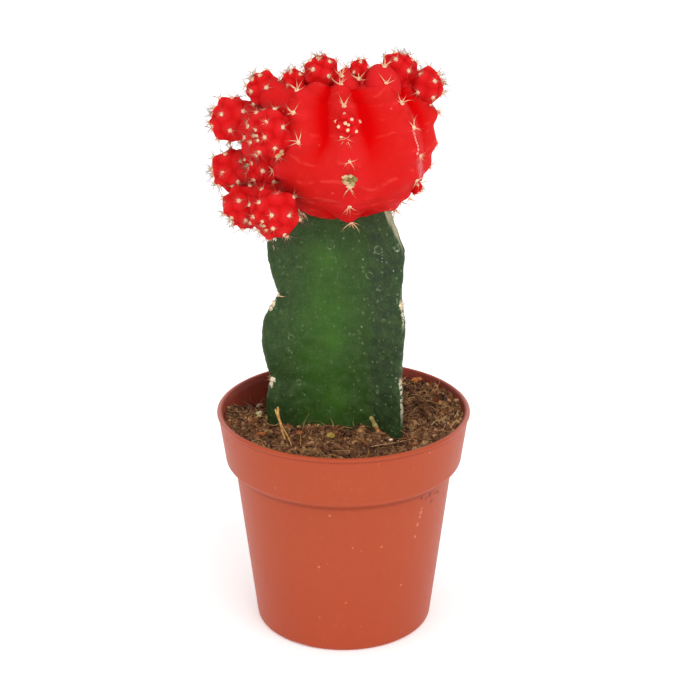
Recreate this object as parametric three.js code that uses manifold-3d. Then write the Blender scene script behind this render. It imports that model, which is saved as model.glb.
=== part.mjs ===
// A potted moon cactus: a red scion with its offsets, grafted on a three-winged green rootstock, standing in peat
// in a small round nursery pot. Millimetres, +Z up. The origin is the centre of the pot's underside, on the surface
// that the pot stands on. The front of the plant faces -Y.

import * as THREE from "three";
import { mergeVertices } from "three/addons/utils/BufferGeometryUtils.js";
import Module from "manifold-3d";

const wasm = await Module();
wasm.setup();

// ---------------------------------------------------------------- driving dimensions, in mm and degrees

const SEAT_GAP = 0.3; // clearance between pieces that touch

const pot = {
  segments: 40,
  height: 49.6,
  wall: 0.95,
  rimRadius: 27.5,
  lipHeight: 1.3, // the rolled lip stands out of the collar below it
  collarTopRadius: 27.05,
  collarBottomRadius: 25.6,
  collarBottomHeight: 40.4, // where the collar starts to turn in to the body
  stepRadius: 23.8,
  stepHeight: 36.9,
  footRadius: 19.4,
  footHeight: 1.4,
  footRingWidth: 1.8,
  recess: 0.8, // how far the underside is raised between the foot ring and the centre pad
  floorThickness: 1.6,
  centrePadRadius: 8.5,
  drainCount: 6,
  drainRadius: 2.2,
  drainCircle: 13.2,
  notchCount: 3,
  notchWidth: 4,
};

const soil = {
  segments: 36,
  rings: 8,
  level: 44.6, // mean height of the surface
  tilt: 1.7, // the surface is banked up towards the back right
  tiltDirection: 20,
  moundHeight: 2.3, // peat is heaped round the rootstock
  moundRadius: 17,
  lumps: 0.55,
  bankInner: 14, // outside this radius the surface rises or falls to meet the wall
  bankOuter: 25.5,
  bank: [
    // [azimuth, height at the wall]
    [-180, 48.5],
    [-135, 47.0],
    [-90, 46.4],
    [-45, 47.2],
    [0, 48.6],
    [40, 48.5],
    [60, 47.2],
    [100, 43.4],
    [135, 42.4],
    [150, 44.3],
    [165, 47.0],
    [180, 48.5],
  ],
};

const stem = {
  axis: new THREE.Vector2(0.3, 3.0),
  bottom: 14,
  top: 98.4,
  baseRounding: 5, // height over which the buried end draws in
  plainBelow: 44, // the buried part is straight and smooth
  ringPitch: 2.6,
  tipHalfWidth: 1.35, // half the thickness of a wing at its edge
  fullReach: 14, // below this reach the faces shrink with the wings
  tipSteps: 3,
  faceSteps: 7,
  bevelTop: 10.6, // the wings are trimmed to this distance from the axis at the graft ...
  bevelHeight: 11.8, // ... along a slope that starts this far below it
  bevelSlope: 0.46,
};

// Each wing: its direction, and how far its edge reaches from the axis at two kinds of height. Areoles sit in the
// notches of the edge, and between them it swells. sideA and sideB shape the hollow faces on its two sides: how far
// the curve runs in from the edge, and how far it is swollen there. sideA is the side towards larger angles.
const wings = [
  {
    name: "left",
    angle: 182,
    notches: [[55.4, 16.0], [74.8, 14.0]],
    swells: [[50.5, 17.0], [66.0, 17.9], [86.0, 16.4]],
    sideA: [7.0, 2.6],
    sideB: [7.5, 1.2],
  },
  {
    name: "front",
    angle: -40,
    notches: [[58.2, 15.3], [75.6, 15.4]],
    swells: [[53.5, 15.9], [71.5, 16.1], [87.0, 15.6]],
    sideA: [7.5, 1.0],
    sideB: [8.0, 0.4],
  },
  {
    name: "back",
    angle: 70,
    notches: [[53.0, 14.4], [70.5, 14.3]],
    swells: [[48.0, 15.6], [64.0, 16.0], [83.0, 15.4]],
    sideA: [7.5, 1.1],
    sideB: [7.5, 1.1],
  },
];

// A globe is a ribbed, flattened ball whose ribs are broken into tubercles, each with a spined areole at its tip.
// up is where its growing tip points; upper and lower are its heights above and below its widest level.
const mainGlobe = {
  centre: [0.8, 1.0, 112.0],
  up: [0, 0, 1],
  radius: 18.0,
  upper: 11.6,
  lower: 20.0,
  boxiness: [2.5, 2.0], // superellipse powers above and below the widest level
  ribs: [-124, -90, -43, 2, 46, 91, 135, 190],
  ribDepth: 0.16,
  rows: [18, 36, 54, 72, 90, 108, 126, 144], // polar angles of the tubercles, from the growing tip
  spinedRows: 8, // how many of those rows carry needles
  bump: 0.07,
  bumpWidth: 6,
  dimple: 0.16,
  aroundPerRib: 6,
  polarSteps: 20,
  spineLength: 3.1,
  spinesPerAreole: 2,
};

const offsetHabit = {
  boxiness: [2.2, 2.0],
  ribDepth: 0.26,
  rows: [22.5, 67.5, 112.5],
  spinedRows: 2,
  bump: 0.19,
  bumpWidth: 14,
  dimple: 0.1,
  aroundPerRib: 3,
  polarSteps: 8,
  spineLength: 1.7,
  spinesPerAreole: 1,
};

// The offsets that have budded from the globe: [centre, radius, direction of the growing tip, number of ribs].
const offsets = [
  [[-22.7, 0.2, 113.5], 4.9, [-1.0, -0.1, 0.3], 7], // left, upper
  [[-14.6, -11.0, 113.6], 4.9, [-0.75, -1.0, 0.05], 8], // left, facing forwards
  [[-23.1, -0.8, 103.1], 4.4, [-1.0, -0.2, -0.2], 7], // left, middle
  [[-20.2, -4.6, 96.5], 4.7, [-0.9, -0.5, -0.7], 7], // left, lower
  [[-13.8, -10.6, 96.8], 5.2, [-0.6, -1.0, -0.45], 8], // left, lowest, facing forwards
  [[-15.8, -3.0, 105.6], 5.0, [-1.0, -0.6, -0.1], 7], // seats the four offsets on the left
  [[-16.2, -0.8, 120.2], 3.6, [-0.8, -0.2, 0.8], 6], // left shoulder
  [[-9.9, -3.4, 122.6], 2.4, [-0.35, -0.3, 1.0], 5],
  [[-4.4, -2.2, 123.8], 3.6, [-0.1, -0.25, 1.0], 7], // top, middle
  [[3.3, -2.6, 124.6], 2.2, [0.1, -0.2, 1.0], 5],
  [[11.2, 1.6, 123.2], 4.0, [0.3, 0.0, 1.0], 7], // top, right
  [[17.0, 0.6, 120.4], 3.7, [1.0, -0.15, 0.35], 7], // right shoulder
  [[0.9, -16.5, 116.4], 2.4, [0.0, -1.0, 0.35], 6], // bud on the front rib
  [[15.0, -3.6, 100.2], 1.5, [0.9, -0.5, -0.3], 5],
  [[12.0, 14.2, 117.6], 4.3, [0.5, 1.0, 0.5], 7], // back, right
  [[-8.4, 16.2, 115.0], 4.0, [-0.4, 1.0, 0.3], 7], // back, left
  [[-17.6, 9.6, 107.6], 4.5, [-1.0, 0.6, 0.0], 7], // behind the left group
  [[9.4, 17.0, 105.0], 3.7, [0.5, 1.0, -0.1], 7],
  [[-3.4, 17.4, 102.6], 3.3, [-0.2, 1.0, -0.3], 6],
];

const spineRoot = 0.34; // radius of a needle where it leaves the areole
const spineSunk = 1; // how deep its root goes

// Dry scraps of plant that stick out of the peat and lean towards the rootstock.
const scraps = [
  { name: "straw", foot: [-11.2, -10.2, 42.6], tip: [-14.7, -0.7, 49.5], thickness: 0.7, tipThickness: 1.0 },
  { name: "twig", foot: [8.9, -7.6, 43.6], tip: [5.8, -6.3, 50.1], thickness: 1.5, tipThickness: 1.1 },
];

const looks = {
  pot: { color: 0xbe5a3e, roughness: 0.5 },
  soil: { color: 0x5a3f2b, roughness: 0.95 },
  rootstock: { color: 0x3c5a2c, roughness: 0.45 },
  scion: { color: 0xdd1a1c, roughness: 0.42 },
  straw: { color: 0xb98a4c, roughness: 0.8 },
  twig: { color: 0x8a6a3c, roughness: 0.85 },
};

// ---------------------------------------------------------------- helpers

const radians = THREE.MathUtils.degToRad;

// A closed three.js geometry as a manifold-3d solid.
function solidOf(geometry) {
  const bare = geometry.index ? geometry.toNonIndexed() : geometry.clone();
  for (const name of ["normal", "uv"]) bare.deleteAttribute(name);
  const merged = mergeVertices(bare, 1e-4);
  return new wasm.Manifold(
    new wasm.Mesh({
      numProp: 3,
      vertProperties: merged.attributes.position.array,
      triVerts: new Uint32Array(merged.index.array),
    }),
  );
}

// A solid back as a three.js mesh, the loose scraps that a cut leaves dropped.
function meshOf(name, solid, look) {
  const largest = solid.decompose().reduce((a, b) => (a.volume() > b.volume() ? a : b));
  const made = largest.getMesh();
  const positions = new Float32Array(made.numVert * 3);
  for (let i = 0; i < made.numVert; i++) {
    positions.set(made.vertProperties.subarray(i * made.numProp, i * made.numProp + 3), i * 3);
  }
  const geometry = new THREE.BufferGeometry()
    .setAttribute("position", new THREE.BufferAttribute(positions, 3))
    .setIndex(new THREE.BufferAttribute(made.triVerts, 1));
  geometry.computeVertexNormals();
  const mesh = new THREE.Mesh(geometry, new THREE.MeshStandardMaterial({ metalness: 0, ...look }));
  mesh.name = name;
  return mesh;
}

// A closed skin through a stack of rings with equal numbers of points, each end closed on its own middle point.
function loft(rings, firstMiddle, lastMiddle) {
  const count = rings[0].length;
  const points = [...rings.flat(), firstMiddle, lastMiddle];
  const faces = [];
  for (let r = 0; r + 1 < rings.length; r++) {
    for (let i = 0; i < count; i++) {
      const j = (i + 1) % count;
      const a = r * count;
      const b = a + count;
      faces.push(a + i, a + j, b + j, a + i, b + j, b + i);
    }
  }
  const last = (rings.length - 1) * count;
  for (let i = 0; i < count; i++) {
    const j = (i + 1) % count;
    faces.push(points.length - 2, j, i, points.length - 1, last + i, last + j);
  }
  return new THREE.BufferGeometry().setFromPoints(points).setIndex(faces);
}

// A three-sided needle from root to tip.
function needle(root, tip, radius) {
  const along = tip.clone().sub(root).normalize();
  const side = new THREE.Vector3(0, 0, 1).cross(along);
  if (side.lengthSq() < 1e-6) side.set(1, 0, 0);
  side.normalize();
  const corners = [0, 120, 240].map((turn) =>
    root.clone().addScaledVector(side.clone().applyAxisAngle(along, radians(turn)), radius),
  );
  const [a, b, c] = corners;
  return new THREE.BufferGeometry().setFromPoints([a, b, c, tip]).setIndex([0, 2, 1, 0, 1, 3, 1, 2, 3, 2, 0, 3]);
}

// Repeatable random numbers from 0 to 1.
function randomNumbers(seed) {
  let state = seed;
  return () => {
    state = (state * 1664525 + 1013904223) % 4294967296;
    return state / 4294967296;
  };
}

// ---------------------------------------------------------------- pot

// The inside of the pot, from the rim down to the floor: [radius, height].
function potInside() {
  const p = pot;
  return [
    [p.rimRadius - p.wall - 0.1, p.height],
    [p.collarTopRadius - p.wall - 0.2, p.height - p.lipHeight],
    [p.collarBottomRadius - p.wall - 0.3, p.stepHeight + 2.4],
    [p.stepRadius - p.wall, p.stepHeight + 0.4],
    [p.footRadius - p.wall + 0.3, p.floorThickness + 0.5],
    [p.footRadius - p.wall - 0.4, p.floorThickness],
  ];
}

// The radius of the inside of the pot at a height.
function potBore(z) {
  const inside = potInside();
  const below = Math.max(1, inside.findIndex(([, height]) => height <= z));
  const [[upperRadius, upperHeight], [lowerRadius, lowerHeight]] = [inside[below - 1], inside[below]];
  return THREE.MathUtils.mapLinear(z, lowerHeight, upperHeight, lowerRadius, upperRadius);
}

function potSolid() {
  const p = pot;
  const recessOuter = p.footRadius - p.footRingWidth;
  const profile = [
    [0, 0],
    [p.centrePadRadius, 0],
    [p.centrePadRadius + 0.5, p.recess],
    [recessOuter - 0.5, p.recess],
    [recessOuter, 0],
    [p.footRadius - 0.6, 0],
    [p.footRadius, 0.5],
    [p.footRadius + 0.15, p.footHeight],
    [p.stepRadius, p.stepHeight],
    [p.stepRadius + 0.75, p.stepHeight + 0.45],
    [p.collarBottomRadius - 0.35, p.stepHeight + 1.7],
    [p.collarBottomRadius, p.collarBottomHeight],
    [p.collarTopRadius, p.height - p.lipHeight],
    [p.rimRadius, p.height - p.lipHeight + 0.3],
    [p.rimRadius, p.height - 0.3],
    [p.rimRadius - 0.3, p.height],
    ...potInside(),
    [0, p.floorThickness],
  ].map(([r, z]) => new THREE.Vector2(r, z));
  let body = solidOf(new THREE.LatheGeometry(profile, p.segments).rotateX(Math.PI / 2));
  for (let i = 0; i < p.drainCount; i++) {
    const turn = radians((360 * (i + 0.5)) / p.drainCount);
    const drain = new THREE.CylinderGeometry(p.drainRadius, p.drainRadius, 3 * p.floorThickness, 10)
      .rotateX(Math.PI / 2)
      .translate(p.drainCircle * Math.cos(turn), p.drainCircle * Math.sin(turn), p.floorThickness / 2);
    body = body.subtract(solidOf(drain));
  }
  for (let i = 0; i < p.notchCount; i++) {
    const notch = new THREE.BoxGeometry(2 * p.footRingWidth + 1, p.notchWidth, 2 * p.recess)
      .translate(recessOuter + p.footRingWidth / 2, 0, 0)
      .rotateZ(radians((360 * i) / p.notchCount));
    body = body.subtract(solidOf(notch));
  }
  return body;
}

// ---------------------------------------------------------------- rootstock

// How far a wing reaches at a height. The edge rises steeply out of each notch into a round swell, and near the
// graft it is trimmed back along a slope. The buried end draws in.
function wingReach(wing, z) {
  const marks = [...wing.notches, ...wing.swells].sort((a, b) => a[0] - b[0]);
  const height = THREE.MathUtils.clamp(z, marks[0][0], marks.at(-1)[0]);
  const next = Math.max(1, marks.findIndex((mark) => mark[0] >= height));
  const ends = [marks[next - 1], marks[next]];
  const [notch, swell] = wing.notches.includes(ends[0]) ? ends : ends.reverse();
  const share = (height - notch[0]) / (swell[0] - notch[0]);
  let reach = notch[1] + (swell[1] - notch[1]) * Math.sin((Math.PI / 2) * share) ** 0.85;
  const below = stem.top - z;
  if (below < stem.bevelHeight) reach = Math.min(reach, stem.bevelTop + stem.bevelSlope * below);
  const up = (z - stem.bottom) / stem.baseRounding;
  if (up < 1) reach *= 0.45 + 0.55 * Math.sqrt(Math.max(0, 1 - (1 - up) ** 2));
  return reach;
}

// The outline of the rootstock at a height, swollen by grow: round wing edges joined by hollow faces.
function stemRing(z, grow) {
  const order = [...wings].sort((a, b) => ((a.angle + 360) % 360) - ((b.angle + 360) % 360));
  const corners = order.map((wing) => {
    const out = new THREE.Vector2(1, 0).rotateAround(new THREE.Vector2(), radians(wing.angle));
    const left = new THREE.Vector2(-out.y, out.x);
    return { wing, out, left, reach: wingReach(wing, z) - stem.tipHalfWidth };
  });
  const points = [];
  corners.forEach((corner, i) => {
    const next = corners[(i + 1) % corners.length];
    const tip = corner.out.clone().multiplyScalar(corner.reach).add(stem.axis);
    const nextTip = next.out.clone().multiplyScalar(next.reach).add(stem.axis);
    for (let k = 0; k <= stem.tipSteps; k++) {
      const turn = radians(-90 + (180 * k) / stem.tipSteps);
      points.push(
        tip
          .clone()
          .addScaledVector(corner.out, stem.tipHalfWidth * Math.cos(turn))
          .addScaledVector(corner.left, stem.tipHalfWidth * Math.sin(turn)),
      );
    }
    const scale = Math.min(1, corner.reach / stem.fullReach);
    const nextScale = Math.min(1, next.reach / stem.fullReach);
    const start = points.at(-1);
    const end = nextTip.clone().addScaledVector(next.left, -stem.tipHalfWidth);
    const [inA, swellA] = corner.wing.sideA;
    const [inB, swellB] = next.wing.sideB;
    const face = new THREE.CubicBezierCurve(
      start,
      start.clone().addScaledVector(corner.out, -inA * scale).addScaledVector(corner.left, swellA * scale),
      end.clone().addScaledVector(next.out, -inB * nextScale).addScaledVector(next.left, -swellB * nextScale),
      end,
    );
    for (let k = 1; k < stem.faceSteps; k++) points.push(face.getPoint(k / stem.faceSteps));
  });
  return points.map((point, i) => {
    const before = points[(i + points.length - 1) % points.length];
    const after = points[(i + 1) % points.length];
    const tangent = after.clone().sub(before).normalize();
    return new THREE.Vector3(point.x + tangent.y * grow, point.y - tangent.x * grow, z);
  });
}

function stemLoft(grow) {
  const bottom = stem.bottom - grow;
  const top = stem.top + grow;
  const heights = [bottom, stem.bottom + 0.9, stem.bottom + 2.4, stem.bottom + stem.baseRounding, stem.plainBelow];
  const steps = Math.round((stem.top - stem.plainBelow) / stem.ringPitch);
  for (let k = 1; k < steps; k++) heights.push(stem.plainBelow + ((stem.top - stem.plainBelow) * k) / steps);
  heights.push(top);
  const rings = heights.map((z) => stemRing(THREE.MathUtils.clamp(z, stem.bottom, stem.top), grow));
  heights.forEach((z, i) => rings[i].forEach((point) => point.setZ(z)));
  const middle = (z) => new THREE.Vector3(stem.axis.x, stem.axis.y, z);
  return solidOf(loft(rings, middle(bottom), middle(top)));
}

// The woolly areoles in the notches of the wings, each a small pad with three short spines.
function stemAreoles() {
  const draw = randomNumbers(7);
  const made = [];
  for (const wing of wings) {
    const out = new THREE.Vector3(Math.cos(radians(wing.angle)), Math.sin(radians(wing.angle)), 0);
    for (const [z] of wing.notches) {
      const seat = new THREE.Vector3(stem.axis.x, stem.axis.y, z).addScaledVector(out, wingReach(wing, z) - 0.25);
      made.push(new THREE.IcosahedronGeometry(1.05).scale(0.9, 0.9, 1.2).translate(seat.x, seat.y, seat.z));
      const across = new THREE.Vector3(-out.y, out.x, 0);
      for (const lean of [-0.8, 0.1, 0.9]) {
        const direction = out
          .clone()
          .addScaledVector(across, lean)
          .add(new THREE.Vector3(0, 0, 0.9 * (draw() - 0.35)))
          .normalize();
        made.push(needle(seat, seat.clone().addScaledVector(direction, 2.2 + draw()), 0.4));
      }
    }
  }
  return made.map(solidOf);
}

// ---------------------------------------------------------------- soil

function bankHeight(azimuth) {
  const next = Math.max(1, soil.bank.findIndex(([angle]) => angle >= azimuth));
  const [[lowAngle, low], [highAngle, high]] = [soil.bank[next - 1], soil.bank[next]];
  return THREE.MathUtils.mapLinear(azimuth, lowAngle, highAngle, low, high);
}

function soilHeight(x, y) {
  const bank = radians(soil.tiltDirection);
  const across = (x * Math.cos(bank) + y * Math.sin(bank)) / pot.collarTopRadius;
  const fromStem = Math.hypot(x - stem.axis.x, y - stem.axis.y);
  const mound = soil.moundHeight * Math.exp(-((fromStem / soil.moundRadius) ** 2));
  const lumps = Math.sin(0.9 * x + 1.3) * Math.cos(0.8 * y) + 0.6 * Math.sin(1.7 * y - 0.6 * x);
  const inner = soil.level + soil.tilt * across + mound;
  const wall = bankHeight(THREE.MathUtils.radToDeg(Math.atan2(y, x)));
  const nearWall = THREE.MathUtils.smoothstep(Math.hypot(x, y), soil.bankInner, soil.bankOuter);
  return THREE.MathUtils.lerp(inner, wall, nearWall) + soil.lumps * lumps;
}

function soilSolid() {
  const clear = SEAT_GAP + 0.1;
  const floor = pot.floorThickness + SEAT_GAP;
  const ringAt = (radiusAt, heightAt) =>
    Array.from({ length: soil.segments }, (_, i) => {
      const turn = (2 * Math.PI * i) / soil.segments;
      const edge = pot.collarBottomRadius - 1;
      const height = heightAt(edge * Math.cos(turn), edge * Math.sin(turn));
      const radius = radiusAt(height);
      const z = heightAt(radius * Math.cos(turn), radius * Math.sin(turn));
      return new THREE.Vector3(radius * Math.cos(turn), radius * Math.sin(turn), z);
    });
  const wall = (z) => potBore(z) - clear;
  const level = (z) => ringAt(() => wall(z), () => z);
  const rings = [level(floor), level(floor + 0.8), level(pot.stepHeight), level(pot.stepHeight + 2)];
  rings.push(ringAt(wall, soilHeight));
  for (let k = soil.rings - 1; k > 0; k--) {
    rings.push(ringAt((z) => (wall(z) * k) / soil.rings, soilHeight));
  }
  const middle = new THREE.Vector3(0, 0, soilHeight(0, 0));
  return solidOf(loft(rings, new THREE.Vector3(0, 0, floor), middle));
}

// ---------------------------------------------------------------- scion

// The frame of a globe: a matrix that turns its growing tip to point along up and moves it to its centre.
function globeFrame(globe) {
  const up = new THREE.Vector3(...globe.up).normalize();
  const turn = new THREE.Quaternion().setFromUnitVectors(new THREE.Vector3(0, 0, 1), up);
  return new THREE.Matrix4().compose(new THREE.Vector3(...globe.centre), turn, new THREE.Vector3(1, 1, 1));
}

// Where an azimuth lies between two ribs of a globe: 0 on a rib, 0.5 in the groove, 1 on the next rib.
function betweenRibs(globe, azimuth) {
  for (let i = 0; i < globe.ribs.length; i++) {
    const width = (((ribAngle(globe, i + 1) - globe.ribs[i]) % 360) + 360) % 360;
    const past = (((azimuth - globe.ribs[i]) % 360) + 360) % 360;
    if (past <= width) return past / width;
  }
  return 0;
}

function ribAngle(globe, i) {
  return globe.ribs[i % globe.ribs.length] + 360 * Math.floor(i / globe.ribs.length);
}

// The skin of a globe at a polar angle from the growing tip and an azimuth, both in degrees.
function globePoint(globe, polar, azimuth) {
  const crest = Math.abs(Math.cos(Math.PI * betweenRibs(globe, azimuth)));
  const level = Math.sin(radians(polar));
  const ribs = 1 - globe.ribDepth * (1 - crest) * Math.sqrt(level);
  let bumps = 0;
  for (const row of globe.rows) bumps += Math.exp(-(((polar - row) / globe.bumpWidth) ** 2));
  const tubercles = globe.bump * bumps * crest ** 3 * Math.sqrt(level);
  const hollow = 1 - globe.dimple * Math.exp(-((polar / 17) ** 2));
  const power = polar < 90 ? globe.boxiness[0] : globe.boxiness[1];
  const out = level ** (2 / power);
  const height = Math.sign(90 - polar) * Math.abs(Math.cos(radians(polar))) ** (2 / power);
  const tall = height > 0 ? globe.upper : globe.lower;
  const radius = globe.radius * out * (ribs + tubercles);
  const turn = radians(azimuth);
  const z = height * tall * hollow * (1 + 0.5 * tubercles);
  return new THREE.Vector3(radius * Math.cos(turn), radius * Math.sin(turn), z);
}

function globeSkin(globe) {
  const azimuths = globe.ribs.flatMap((rib, i) =>
    Array.from({ length: globe.aroundPerRib }, (_, k) =>
      THREE.MathUtils.lerp(rib, ribAngle(globe, i + 1), k / globe.aroundPerRib),
    ),
  );
  const rings = [];
  for (let k = globe.polarSteps - 1; k > 0; k--) {
    const polar = (180 * k) / globe.polarSteps;
    rings.push(azimuths.map((azimuth) => globePoint(globe, polar, azimuth)));
  }
  const skin = loft(rings, globePoint(globe, 180, 0), globePoint(globe, 0, 0));
  return skin.applyMatrix4(globeFrame(globe));
}

// The needles of a globe: a fan at every tubercle, splayed round the outward direction. Each needle leaves through
// the middle of a facet beside the tip of its tubercle, on the two sides in turn.
function globeNeedles(globe, draw) {
  const frame = globeFrame(globe);
  const turnStep = 360 / (globe.ribs.length * globe.aroundPerRib);
  const polarStep = 180 / globe.polarSteps;
  const made = [];
  for (const crest of globe.ribs) {
    for (const row of globe.rows.slice(0, globe.spinedRows)) {
      for (let k = 0; k < globe.spinesPerAreole; k++) {
        const beside = k % 2 ? 1 / 3 : -1 / 3;
        const azimuth = crest + beside * turnStep;
        const seat = globePoint(globe, row + beside * polarStep, azimuth);
        const out = new THREE.Vector3(seat.x, seat.y, seat.z * (globe.radius / globe.upper)).normalize();
        const across = new THREE.Vector3(-Math.sin(radians(azimuth)), Math.cos(radians(azimuth)), 0);
        const along = across.clone().cross(out);
        const direction = out
          .addScaledVector(across, 2.4 * beside + 0.7 * (draw() - 0.5))
          .addScaledVector(along, 1.4 * (draw() - 0.5))
          .normalize();
        const root = seat.clone().addScaledVector(direction, -spineSunk);
        const tip = seat.clone().addScaledVector(direction, globe.spineLength * (0.85 + 0.3 * draw()));
        made.push(needle(root.applyMatrix4(frame), tip.applyMatrix4(frame), spineRoot));
      }
    }
  }
  return made;
}

function scionSolid(stemSpace) {
  const draw = randomNumbers(20);
  const globes = [mainGlobe];
  offsets.forEach(([centre, radius, up, ribs], i) =>
    globes.push({
      ...offsetHabit,
      centre,
      radius,
      up,
      ribs: Array.from({ length: ribs }, (_, k) => 40 * i + (360 * k) / ribs),
      upper: radius,
      lower: radius,
    }),
  );
  const flesh = wasm.Manifold.union(globes.map((globe) => solidOf(globeSkin(globe))));
  // A needle that starts inside another globe and ends there too doesn't show, so it is left out.
  const needles = globes.flatMap((globe) => globeNeedles(globe, draw).map(solidOf));
  const shown = needles.filter((one) => one.subtract(flesh).volume() > 0.2 * one.volume());
  return wasm.Manifold.union([flesh, ...shown]).subtract(stemSpace);
}

// ---------------------------------------------------------------- dry scraps

// A round scrap, swollen by grow.
function scrapSolid({ foot, tip, thickness, tipThickness }, grow) {
  const from = new THREE.Vector3(...foot);
  const to = new THREE.Vector3(...tip);
  const along = to.clone().sub(from).normalize();
  const length = from.distanceTo(to) + grow;
  const turn = new THREE.Quaternion().setFromUnitVectors(new THREE.Vector3(0, 1, 0), along);
  const base = from.clone().addScaledVector(along, -grow);
  const made = new THREE.CylinderGeometry(tipThickness / 2 + grow, thickness / 2 + grow, length + grow, 7)
    .translate(0, (length + grow) / 2, 0)
    .applyQuaternion(turn)
    .translate(base.x, base.y, base.z);
  return solidOf(made);
}

// ---------------------------------------------------------------- the plant

const stemSpace = stemLoft(SEAT_GAP);
const scrapSpaces = scraps.map((scrap) => scrapSolid(scrap, SEAT_GAP));

const plant = new THREE.Group();
plant.add(meshOf("pot", potSolid(), looks.pot));
plant.add(meshOf("soil", soilSolid().subtract(wasm.Manifold.union([stemSpace, ...scrapSpaces])), looks.soil));
plant.add(meshOf("rootstock", wasm.Manifold.union([stemLoft(0), ...stemAreoles()]), looks.rootstock));
plant.add(meshOf("scion", scionSolid(stemSpace), looks.scion));
for (const scrap of scraps) plant.add(meshOf(scrap.name, scrapSolid(scrap, 0), looks[scrap.name]));

export default plant;
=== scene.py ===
# Potted moon cactus: a red scion with its offsets, grafted on a three-winged green rootstock, in a
# nursery pot. The solid parts give the places and sizes, and this script makes the surfaces that are
# seen. Shape tables are in millimetres and degrees, and MM turns them into metres where a mesh is
# made. Settings are in metres.
import math

import bmesh
import bpy
import numpy as np
from bpy.props import FloatProperty, FloatVectorProperty, IntProperty, PointerProperty
from bpy.types import Operator, Panel, PropertyGroup
from mathutils import Matrix, Vector, noise


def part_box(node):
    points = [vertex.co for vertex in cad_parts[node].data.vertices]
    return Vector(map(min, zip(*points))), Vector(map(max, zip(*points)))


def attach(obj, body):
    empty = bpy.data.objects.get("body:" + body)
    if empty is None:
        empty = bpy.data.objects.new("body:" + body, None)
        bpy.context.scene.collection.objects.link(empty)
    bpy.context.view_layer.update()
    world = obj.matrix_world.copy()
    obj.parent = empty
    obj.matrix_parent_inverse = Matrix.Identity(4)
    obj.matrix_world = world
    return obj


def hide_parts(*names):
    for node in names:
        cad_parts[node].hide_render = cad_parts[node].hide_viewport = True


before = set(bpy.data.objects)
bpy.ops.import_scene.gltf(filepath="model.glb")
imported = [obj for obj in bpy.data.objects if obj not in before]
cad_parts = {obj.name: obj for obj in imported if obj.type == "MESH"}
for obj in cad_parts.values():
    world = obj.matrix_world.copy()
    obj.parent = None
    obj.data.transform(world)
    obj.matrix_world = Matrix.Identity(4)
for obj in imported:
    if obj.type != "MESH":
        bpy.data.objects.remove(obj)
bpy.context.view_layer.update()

bl_info = {
    "name": "Potted moon cactus",
    "version": (1, 0, 0),
    "blender": (4, 5, 0),
    "location": "View3D > Sidebar > Cactus",
    "description": "Builds a grafted moon cactus in its nursery pot",
    "category": "Add Mesh",
}

MM = 0.001
BODY = "root"
POT_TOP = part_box("pot")[1]
GOLDEN_ANGLE = 137.508

# ---------- sizes of the plant

# The bed of peat is heaped round the rootstock, and rises or falls to its (azimuth, height) at the wall.
BED = {
    "lean": 1.7, "lean_direction": 20, "lean_radius": 27.05, "mound": 2.3, "mound_radius": 17.0,
    "lumps": 0.55, "bank_inner": 14.0, "bank_outer": 25.5, "wall_gap": 0.12, "floor": 1.9,
    "edge_radius": 24.6, "stem_level": 47.0, "side_heights": (1.9, 2.7, 37.0, 39.0),
}
BANK = [
    (-180, 48.6), (-135, 47.1), (-90, 46.4), (-45, 47.4), (0, 48.9), (40, 48.7), (60, 47.3),
    (100, 43.4), (135, 42.4), (150, 44.3), (165, 47.0), (180, 48.5),
]

STEM = {
    "axis": (0.3, 3.0), "bottom": 14.0, "top": 98.4, "base_rounding": 5.0, "edge_radius": 1.35,
    "full_reach": 14.0, "bevel_top": 10.6, "bevel_height": 11.8, "bevel_slope": 0.46,
}

# The wings of the rootstock in turn: direction, (height, reach) of the notches and swells of the edge,
# how the hollow face on each side leaves it (how far inwards the curve runs, how far it swells), how
# far the horny line runs down from each notch, the heights at which its cut face starts and reaches
# full width, and how much painted shade darkens its flanks.
WINGS = [
    {
        "angle": 70, "notches": [(53.0, 14.4), (70.5, 14.3)],
        "swells": [(48.0, 15.6), (64.0, 16.0), (83.0, 15.4)],
        "side_a": (7.5, 1.1), "side_b": (7.5, 1.1),
        "horn": (4.0, 2.0), "cut": (86.1, 93.6), "dark": 0.7,
    },
    {
        "angle": 182, "notches": [(55.4, 16.0), (74.8, 14.0)],
        "swells": [(50.5, 17.0), (66.0, 17.9), (86.0, 16.4)],
        "side_a": (7.0, 2.6), "side_b": (7.5, 1.2),
        "horn": (2.6, 3.8), "cut": (84.6, 88.0), "dark": 0.3,
    },
    {
        "angle": 320, "notches": [(58.2, 15.3), (75.6, 15.4)],
        "swells": [(53.5, 15.9), (71.5, 16.1), (87.0, 15.6)],
        "side_a": (7.5, 1.0), "side_b": (8.0, 0.4),
        "horn": (11.0, 6.0), "cut": (86.1, 95.5), "dark": 1.0,
    },
]

GLOBE = {
    "centre": (0.8, 1.0, 112.0), "radius": 18.0, "upper": 11.6, "lower": 20.0, "power_above": 2.5,
    "power_below": 2.0, "rib_depth": 0.21, "knob": 0.05, "knob_above": 0.06, "pinch": 0.018,
    "dimple": 0.34, "dimple_width": 19.0, "back_fall": 1.5, "polar_range": (178.6, 1.4),
}

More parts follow.
